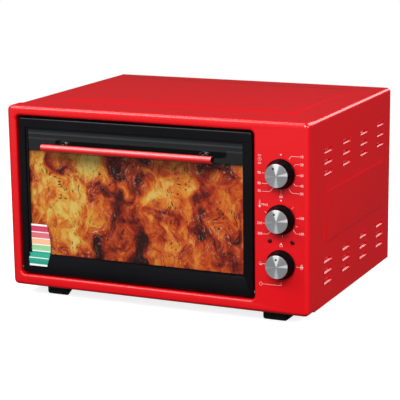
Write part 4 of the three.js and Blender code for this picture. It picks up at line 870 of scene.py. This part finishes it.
# The timer's figures with their lines: figure, (x, z) of the line's start, height of its end
TIMER_MARKS = (
    ("10", (12.5, 22), 26.4), ("20", (20.5, 12.5), 15.0), ("30", (23.8, -1.0), -1.0),
    ("40", (20.0, -13.5), -16.2), ("50", (12.5, -21.5), -27.6), ("70", (-12.5, -21.8), -27.9),
    ("80", (-20.0, -13.8), -16.4), ("90", (-23.8, -0.8), -0.8))


def leader(start, z):
    """A line that leaves a knob at a start, slants to a height and runs level to its end."""
    end = LEADER_ENDS[start[0] < 0]
    slant = math.copysign(LEADER_SLOPE * abs(z - start[1]), end)
    return [start, (start[0] + slant, z), (end, z)]


def round_line(x, z, radius, start, sweep, steps):
    """Points of a round line, with its turns in degrees from the top."""
    turns = [math.radians(start + sweep * i / steps) for i in range(steps + 1)]
    return [(x + radius * math.sin(turn), z + radius * math.cos(turn)) for turn in turns]


def slot_line(z):
    """A flat box, the sign of a grill's bar."""
    left, right, top = -35.4, -31.2, z + 1.9
    return [(left, z), (right, z), (right, top), (left, top), (left, z)]


POINTER = (0, 27.7, 2.0, 3, 180)

# The print round each knob, in mm from its axis: lines, words (text, x, z and share of the
# figure height) and spots (x, z, radius, corners and turn in degrees)
DIALS = {
    "timer": (
        [*(leader(start, z) for _, start, z in TIMER_MARKS),
         [(0, -24.5), (0, -31.0)], slot_line(23.8), slot_line(12.4),
         round_line(-33.2, 19.0, 2.6, 0, 360, 16), [(-33.2, 20.8), (-33.2, 19.0), (-31.9, 18.3)]],
        [*((text, FIGURE_PLACES[start[0] < 0], z, 1) for text, start, z in TIMER_MARKS),
         ("60", 0, -34.4, 1)],
        [POINTER]),
    "thermostat": (
        [[(16.8, 16.8), (19.2, 19.2)], [(22.6, -8.2), (25.6, -9.3)], [(2.0, -23.8), (2.3, -27.2)],
         [(-22.6, 8.2), (-25.4, 9.2)], [(23.8, 3.0), (27.4, 3.6)],
         [(19.0, -14.5), (23.5, -19.6), (27.4, -19.6)],
         [(-15.5, -18.4), (-20.5, -24.0), (-28.2, -24.0)], [(-22.4, -7.4), (-28.4, -8.3)],
         [(-34.0, 18.5), (-34.0, 25.6)], [(-32.6, 18.5), (-32.6, 25.6)],
         round_line(-33.3, 25.6, 0.7, -90, 180, 6)],
        [("100", 31.8, 3.6, 1), ("150", 31.8, -19.6, 1), ("200", -33.2, -24.0, 1),
         ("250", -33.6, -8.3, 1), ("MAX", -25.4, 19.6, 0.92)],
        [POINTER, (-33.3, 17.2, 1.7, 20, 0)]),
    "selector": (
        [[(-2.1, 28.9), (-2.1, 26.4), (2.1, 26.4), (2.1, 28.9)], [(-24.0, -1.7), (-28.6, -1.7)],
         round_line(-32.3, -1.7, 2.5, 0, 360, 16),
         *([(-34.2, z), (-30.4, z)] for z in (-2.2, -2.7, -3.2, -3.7)),
         [(24.0, -1.6), (28.4, -1.6)],
         [(0, -27.0), (0, -32.3), (-28.2, -32.3)],
         [(-32.0, -29.4), (-29.0, -32.4), (-32.0, -35.4), (-35.0, -32.4), (-32.0, -29.4)]],
        [],
        [(0, 30.2, 2.6, 3, 0), (31.8, -1.6, 2.5, 20, 0), (31.8, 0.6, 1.6, 4, 45),
         (31.8, -3.8, 1.6, 4, 45)]),
}


class OVEN_OT_dial_print(bpy.types.Operator):
    """Print the figures, lines and signs round the three knobs"""
    bl_idname = "oven.dial_print"
    bl_label = "Dial Print"

    def execute(self, context):
        size = sizes()
        thickness = size.print_thickness
        for name, (lines, words, spots) in DIALS.items():
            axis = KNOB_AXES[name]
            shape = bmesh.new()
            for points in lines:
                places = [(axis.x + x * MM, axis.z + z * MM) for x, z in points]
                stroke(shape, places, size.line_width, thickness)
            for text, x, z, share in words:
                figures(
                    shape, text, axis.x + x * MM, axis.z + z * MM, size.figure_height * share,
                    thickness)
            for x, z, radius, corners, turn in spots:
                disc(
                    shape, axis.x + x * MM, axis.z + z * MM, radius * MM, thickness, corners,
                    math.radians(turn))
            piece_from(
                f"dial_print_{name}", shape, finish("print_ink"), "cabinet",
                PRINT_LIMIT)
        return {"FINISHED"}


LABEL_LIFT = 0.06 * MM  # the label's gap from what it lies on
LABEL_OVERHANG = 2.8 * MM  # how far the label starts to the left of the card
LABEL_STEP = 6 * MM
LABEL_BOW = 6.0 * MM  # how far the free edge bows out halfway down
LABEL_SLANT = 6.8 * MM  # how far the other edge slants in towards the foot
LABEL_SHIFT = 4.3 * MM  # how far that edge starts out at the top


class OVEN_OT_colour_label(bpy.types.Operator):
    """Lay the film label with plain colour bands over the pane, the sill and the bottom rail"""
    bl_idname = "oven.colour_label"
    bl_label = "Colour Label"

    def execute(self, context):
        size = sizes()
        left = CARD_LOW.x - LABEL_OVERHANG
        sill_face = DOOR_FRONT + 2 * MM
        sill = low_corner("door_glass").z
        # The (y, z) of each bend on the label's way down the door
        path = [
            (GLASS_FRONT, LABEL_TOP), (GLASS_FRONT, sill + 7.4 * MM),
            (sill_face, sill + 5.8 * MM), (sill_face, sill + 2.0 * MM),
            (DOOR_FRONT, sill - 2.0 * MM), (DOOR_FRONT, LABEL_FOOT)]
        shape = bmesh.new()
        edge = shape.edges.new([
            shape.verts.new((x, path[0][0] - LABEL_LIFT, path[0][1]))
            for x in (left, left + size.label_width)])
        for (y0, z0), (y1, z1) in zip(path, path[1:]):
            steps = max(1, round(math.hypot(y1 - y0, z1 - z0) / LABEL_STEP))
            for _ in range(steps):
                grown = bmesh.ops.extrude_edge_only(shape, edges=[edge])["geom"]
                verts = [item for item in grown if isinstance(item, bmesh.types.BMVert)]
                edge = next(item for item in grown if isinstance(item, bmesh.types.BMEdge))
                bmesh.ops.translate(
                    shape, verts=verts, vec=(0, (y1 - y0) / steps, (z1 - z0) / steps))
        for vert in shape.verts:
            down = (LABEL_TOP - vert.co.z) / (LABEL_TOP - LABEL_FOOT)
            if vert.co.x > left + size.label_width / 2:
                vert.co.x += LABEL_BOW * 4 * down * (1 - down)
            else:
                vert.co.x += LABEL_SLANT * down - LABEL_SHIFT
        bmesh.ops.recalc_face_normals(shape, faces=shape.faces)
        if shape.faces[:][0].normal.y > 0:
            bmesh.ops.reverse_faces(shape, faces=shape.faces)
        bmesh.ops.solidify(shape, geom=shape.faces[:], thickness=size.label_thickness)
        piece_from("colour_label", shape, finish("label_film"), "door", FILM_LIMIT)
        return {"FINISHED"}


class OVEN_OT_cooking_space(bpy.types.Operator):
    """Finish the enamelled cavity, the rack, the tray and the heating elements"""
    bl_idname = "oven.cooking_space"
    bl_label = "Cooking Space"

    def execute(self, context):
        dress_all("oven_cavity", "baking_tray", "cavity_support")
        dress("wire_rack", limit=ROD_LIMIT)
        for level in ("upper", "lower"):
            dress(f"heating_element_{level}", limit=ROD_LIMIT)
            dress_all(f"element_plate_{level}", f"element_hook_{level}")
        return {"FINISHED"}


class OVEN_OT_base_and_back(bpy.types.Operator):
    """Finish the feet, the base pan, the back sheet and the cord's gland"""
    bl_idname = "oven.base_and_back"
    bl_label = "Base and Back"

    def execute(self, context):
        dress_all("base_pan", "rear_panel", "cable_gland")
        for end in ("front", "rear"):
            dress_all(f"foot_{end}_left", f"foot_{end}_right")
        return {"FINISHED"}


class OVEN_OT_inner_works(bpy.types.Operator):
    """Finish the controls' bodies, the bell, the lamps, the heat shield and the wiring"""
    bl_idname = "oven.inner_works"
    bl_label = "Inner Works"

    def execute(self, context):
        dress_all(
            "timer_body", "timer_bell", "thermostat_body", "thermostat_capillary",
            "selector_body", "heat_shield", "terminal_block", "wiring_loom", "pilot_lamp_left",
            "pilot_lamp_right")
        return {"FINISHED"}


SCREW_INSET = 9 * MM  # from a sheet's edge to a screw's middle


class OVEN_OT_fasteners(bpy.types.Operator):
    """Set the screws of the back sheet and the base pan"""
    bl_idname = "oven.fasteners"
    bl_label = "Fasteners"

    def execute(self, context):
        low, high = low_corner("rear_panel"), high_corner("rear_panel")
        span = high - low
        places = [
            (x, high.y, low.z + share * span.z)
            for x in (low.x + SCREW_INSET, high.x - SCREW_INSET) for share in (0.12, 0.5, 0.9)]
        places += [
            (low.x + share * span.x, high.y, high.z - SCREW_INSET) for share in (0.25, 0.5, 0.75)]
        self.screws("rear_screws", places, (0, 1, 0))

        low, high = low_corner("base_pan"), high_corner("base_pan")
        places = [
            (x, low.y + share * (high.y - low.y), low.z)
            for x in (low.x + SCREW_INSET, high.x - SCREW_INSET) for share in (0.16, 0.5, 0.84)]
        self.screws("base_screws", places, (0, 0, -1))
        return {"FINISHED"}

    def screws(self, name, places, outward):
        shape = bmesh.new()
        for place in places:
            screw_head(shape, place, outward)
        piece_from(name, shape, finish("bright_steel"), "cabinet", FILM_LIMIT)


FLOOR_RADIUS = 1.9
FLOOR_FADE = (0.7, 1.85)  # the floor fades out between these distances
FLOOR_DROP = 0.1 * MM  # keeps the floor clear of the feet
WORLD_DIM, WORLD_BRIGHT = 0.05, 0.44
# The sky's bright patch lies to the front and low. It fades in between these directions.
PATCH_FRONT = (-0.35, -0.75)
PATCH_LOW = (-0.28, -0.17)
LAMP_AIM = Vector((0, 0, 0.15))
# Each lamp's place, width in metres, power in watts, and length if it isn't round
LAMPS = {
    "key": ((0.6, -3.0, 2.4), 1.9, 120, None),
    "strip": ((-1.15, -0.1, 2.5), 1.0, 28, 2.0),
    "front_left": ((-1.1, -1.6, 1.9), 1.0, 26, 1.1),
    "side": ((2.8, -0.3, 1.8), 1.9, 82, None),
    "rear": ((0.9, 2.8, 1.5), 1.4, 13, None),
}
# The camera that took the photograph, found from the oven's corners in it
CAMERA_PLACE = (1.0154, -2.2045, 0.6764)
CAMERA_RIGHT = (0.9087, 0.4172, -0.0130)
CAMERA_UP = (-0.0789, 0.2022, 0.9762)
CAMERA_BACK = (0.4099, -0.8860, 0.2167)
CAMERA_LENS = 139.04  # in mm, for a sensor 36 mm wide


class OVEN_OT_studio(bpy.types.Operator):
    """Set up the pale floor, the soft lights and the camera"""
    bl_idname = "oven.studio"
    bl_label = "Studio"

    def execute(self, context):
        self.floor()
        self.world(context.scene)
        for name, settings in LAMPS.items():
            self.lamp(name, *settings)
        self.camera(context.scene)
        context.scene.view_settings.view_transform = "Standard"
        context.scene.view_settings.look = "None"
        return {"FINISHED"}

    def floor(self):
        """A white floor that throws no light and no reflection on the oven's sides."""
        shape = bmesh.new()
        bmesh.ops.create_circle(
            shape, cap_ends=True, segments=96, radius=FLOOR_RADIUS,
            matrix=Matrix.Translation((0, 0, -FLOOR_DROP)))
        floor = placed("studio_floor", mesh_of("studio_floor", shape))
        recipe = Recipe("studio_floor", {
            "Specular IOR Level": 0.1, "Emission Color": (1, 1, 1, 1), "Emission Strength": 0.82})
        tone = colours().floor
        away = recipe.vector("LENGTH", recipe.place)
        floor.data.materials.append(recipe.finished(
            recipe.blend(recipe.mottle(1.5, 2.0), shaded(tone, 0.99), tone), 0.9,
            Alpha=recipe.spread(away, *FLOOR_FADE, 1.0, 0.0)))
        floor.visible_glossy = floor.visible_diffuse = False

    def world(self, scene):
        """White behind the oven, and a dim sky with one bright patch for its light."""
        world = bpy.data.worlds.new("studio")
        world.use_nodes = True
        sky = Nodes(world.node_tree)
        seen = sky.tree.nodes["Background"]
        sky.feed_all(seen, {"Color": (1, 1, 1, 1)})
        _, y, z = sky.axes(sky.put("ShaderNodeTexCoord", {}).outputs["Generated"])
        patch = sky.times(sky.spread(y, *PATCH_FRONT), sky.spread(z, *PATCH_LOW))
        soft = sky.put("ShaderNodeBackground", {
            "Color": (0.96, 0.98, 1, 1),
            "Strength": sky.spread(patch, 0, 1, WORLD_DIM, WORLD_BRIGHT)})
        direct = sky.put("ShaderNodeLightPath", {}).outputs["Is Camera Ray"]
        mix = sky.put("ShaderNodeMixShader", {0: direct, 1: soft.outputs[0], 2: seen.outputs[0]})
        sky.feed_all(sky.tree.nodes["World Output"], {"Surface": mix.outputs[0]})
        scene.world = world

    def lamp(self, name, place, width, power, length):
        light = bpy.data.lights.new(f"{name}_softbox", "AREA")
        light.shape = "RECTANGLE" if length else "DISK"
        light.size = width
        light.size_y = length or width
        light.energy = power
        lamp = placed(f"{name}_softbox", light)
        lamp.location = place
        lamp.visible_camera = False
        lamp.rotation_euler = (LAMP_AIM - Vector(place)).to_track_quat("-Z", "Y").to_euler()

    def camera(self, scene):
        view = bpy.data.cameras.new("photo_view")
        view.lens = CAMERA_LENS
        camera = placed("photo_view", view)
        turn = Matrix((CAMERA_RIGHT, CAMERA_UP, CAMERA_BACK)).transposed().to_4x4()
        camera.matrix_world = Matrix.Translation(CAMERA_PLACE) @ turn
        scene.camera = camera


OPERATORS = (
    OVEN_OT_red_sheetwork, OVEN_OT_door, OVEN_OT_handle, OVEN_OT_hinges, OVEN_OT_knobs,
    OVEN_OT_dial_print, OVEN_OT_colour_label, OVEN_OT_cooking_space, OVEN_OT_base_and_back,
    OVEN_OT_inner_works, OVEN_OT_fasteners, OVEN_OT_studio,
)


class OVEN_PT_pieces(bpy.types.Panel):
    """List the oven's pieces, sizes and colours"""
    bl_idname = "OVEN_PT_pieces"
    bl_label = "Oven"
    bl_space_type = "VIEW_3D"
    bl_region_type = "UI"
    bl_category = "Oven"

    def draw(self, context):
        layout = self.layout
        for settings in (context.scene.oven_sizes, context.scene.oven_colours):
            box = layout.box()
            for key in settings.__annotations__:
                box.prop(settings, key)
        for operator in OPERATORS:
            layout.operator(operator.bl_idname)


CLASSES = (OvenColours, OvenSizes, *OPERATORS, OVEN_PT_pieces)


def register():
    for cls in CLASSES:
        bpy.utils.register_class(cls)
    bpy.types.Scene.oven_colours = PointerProperty(type=OvenColours)
    bpy.types.Scene.oven_sizes = PointerProperty(type=OvenSizes)


def unregister():
    del bpy.types.Scene.oven_sizes
    del bpy.types.Scene.oven_colours
    for cls in reversed(CLASSES):
        bpy.utils.unregister_class(cls)


def main():
    register()
    for operator in OPERATORS:
        getattr(bpy.ops.oven, operator.bl_idname.split(".")[1])()


if __name__ == "__main__":
    main()
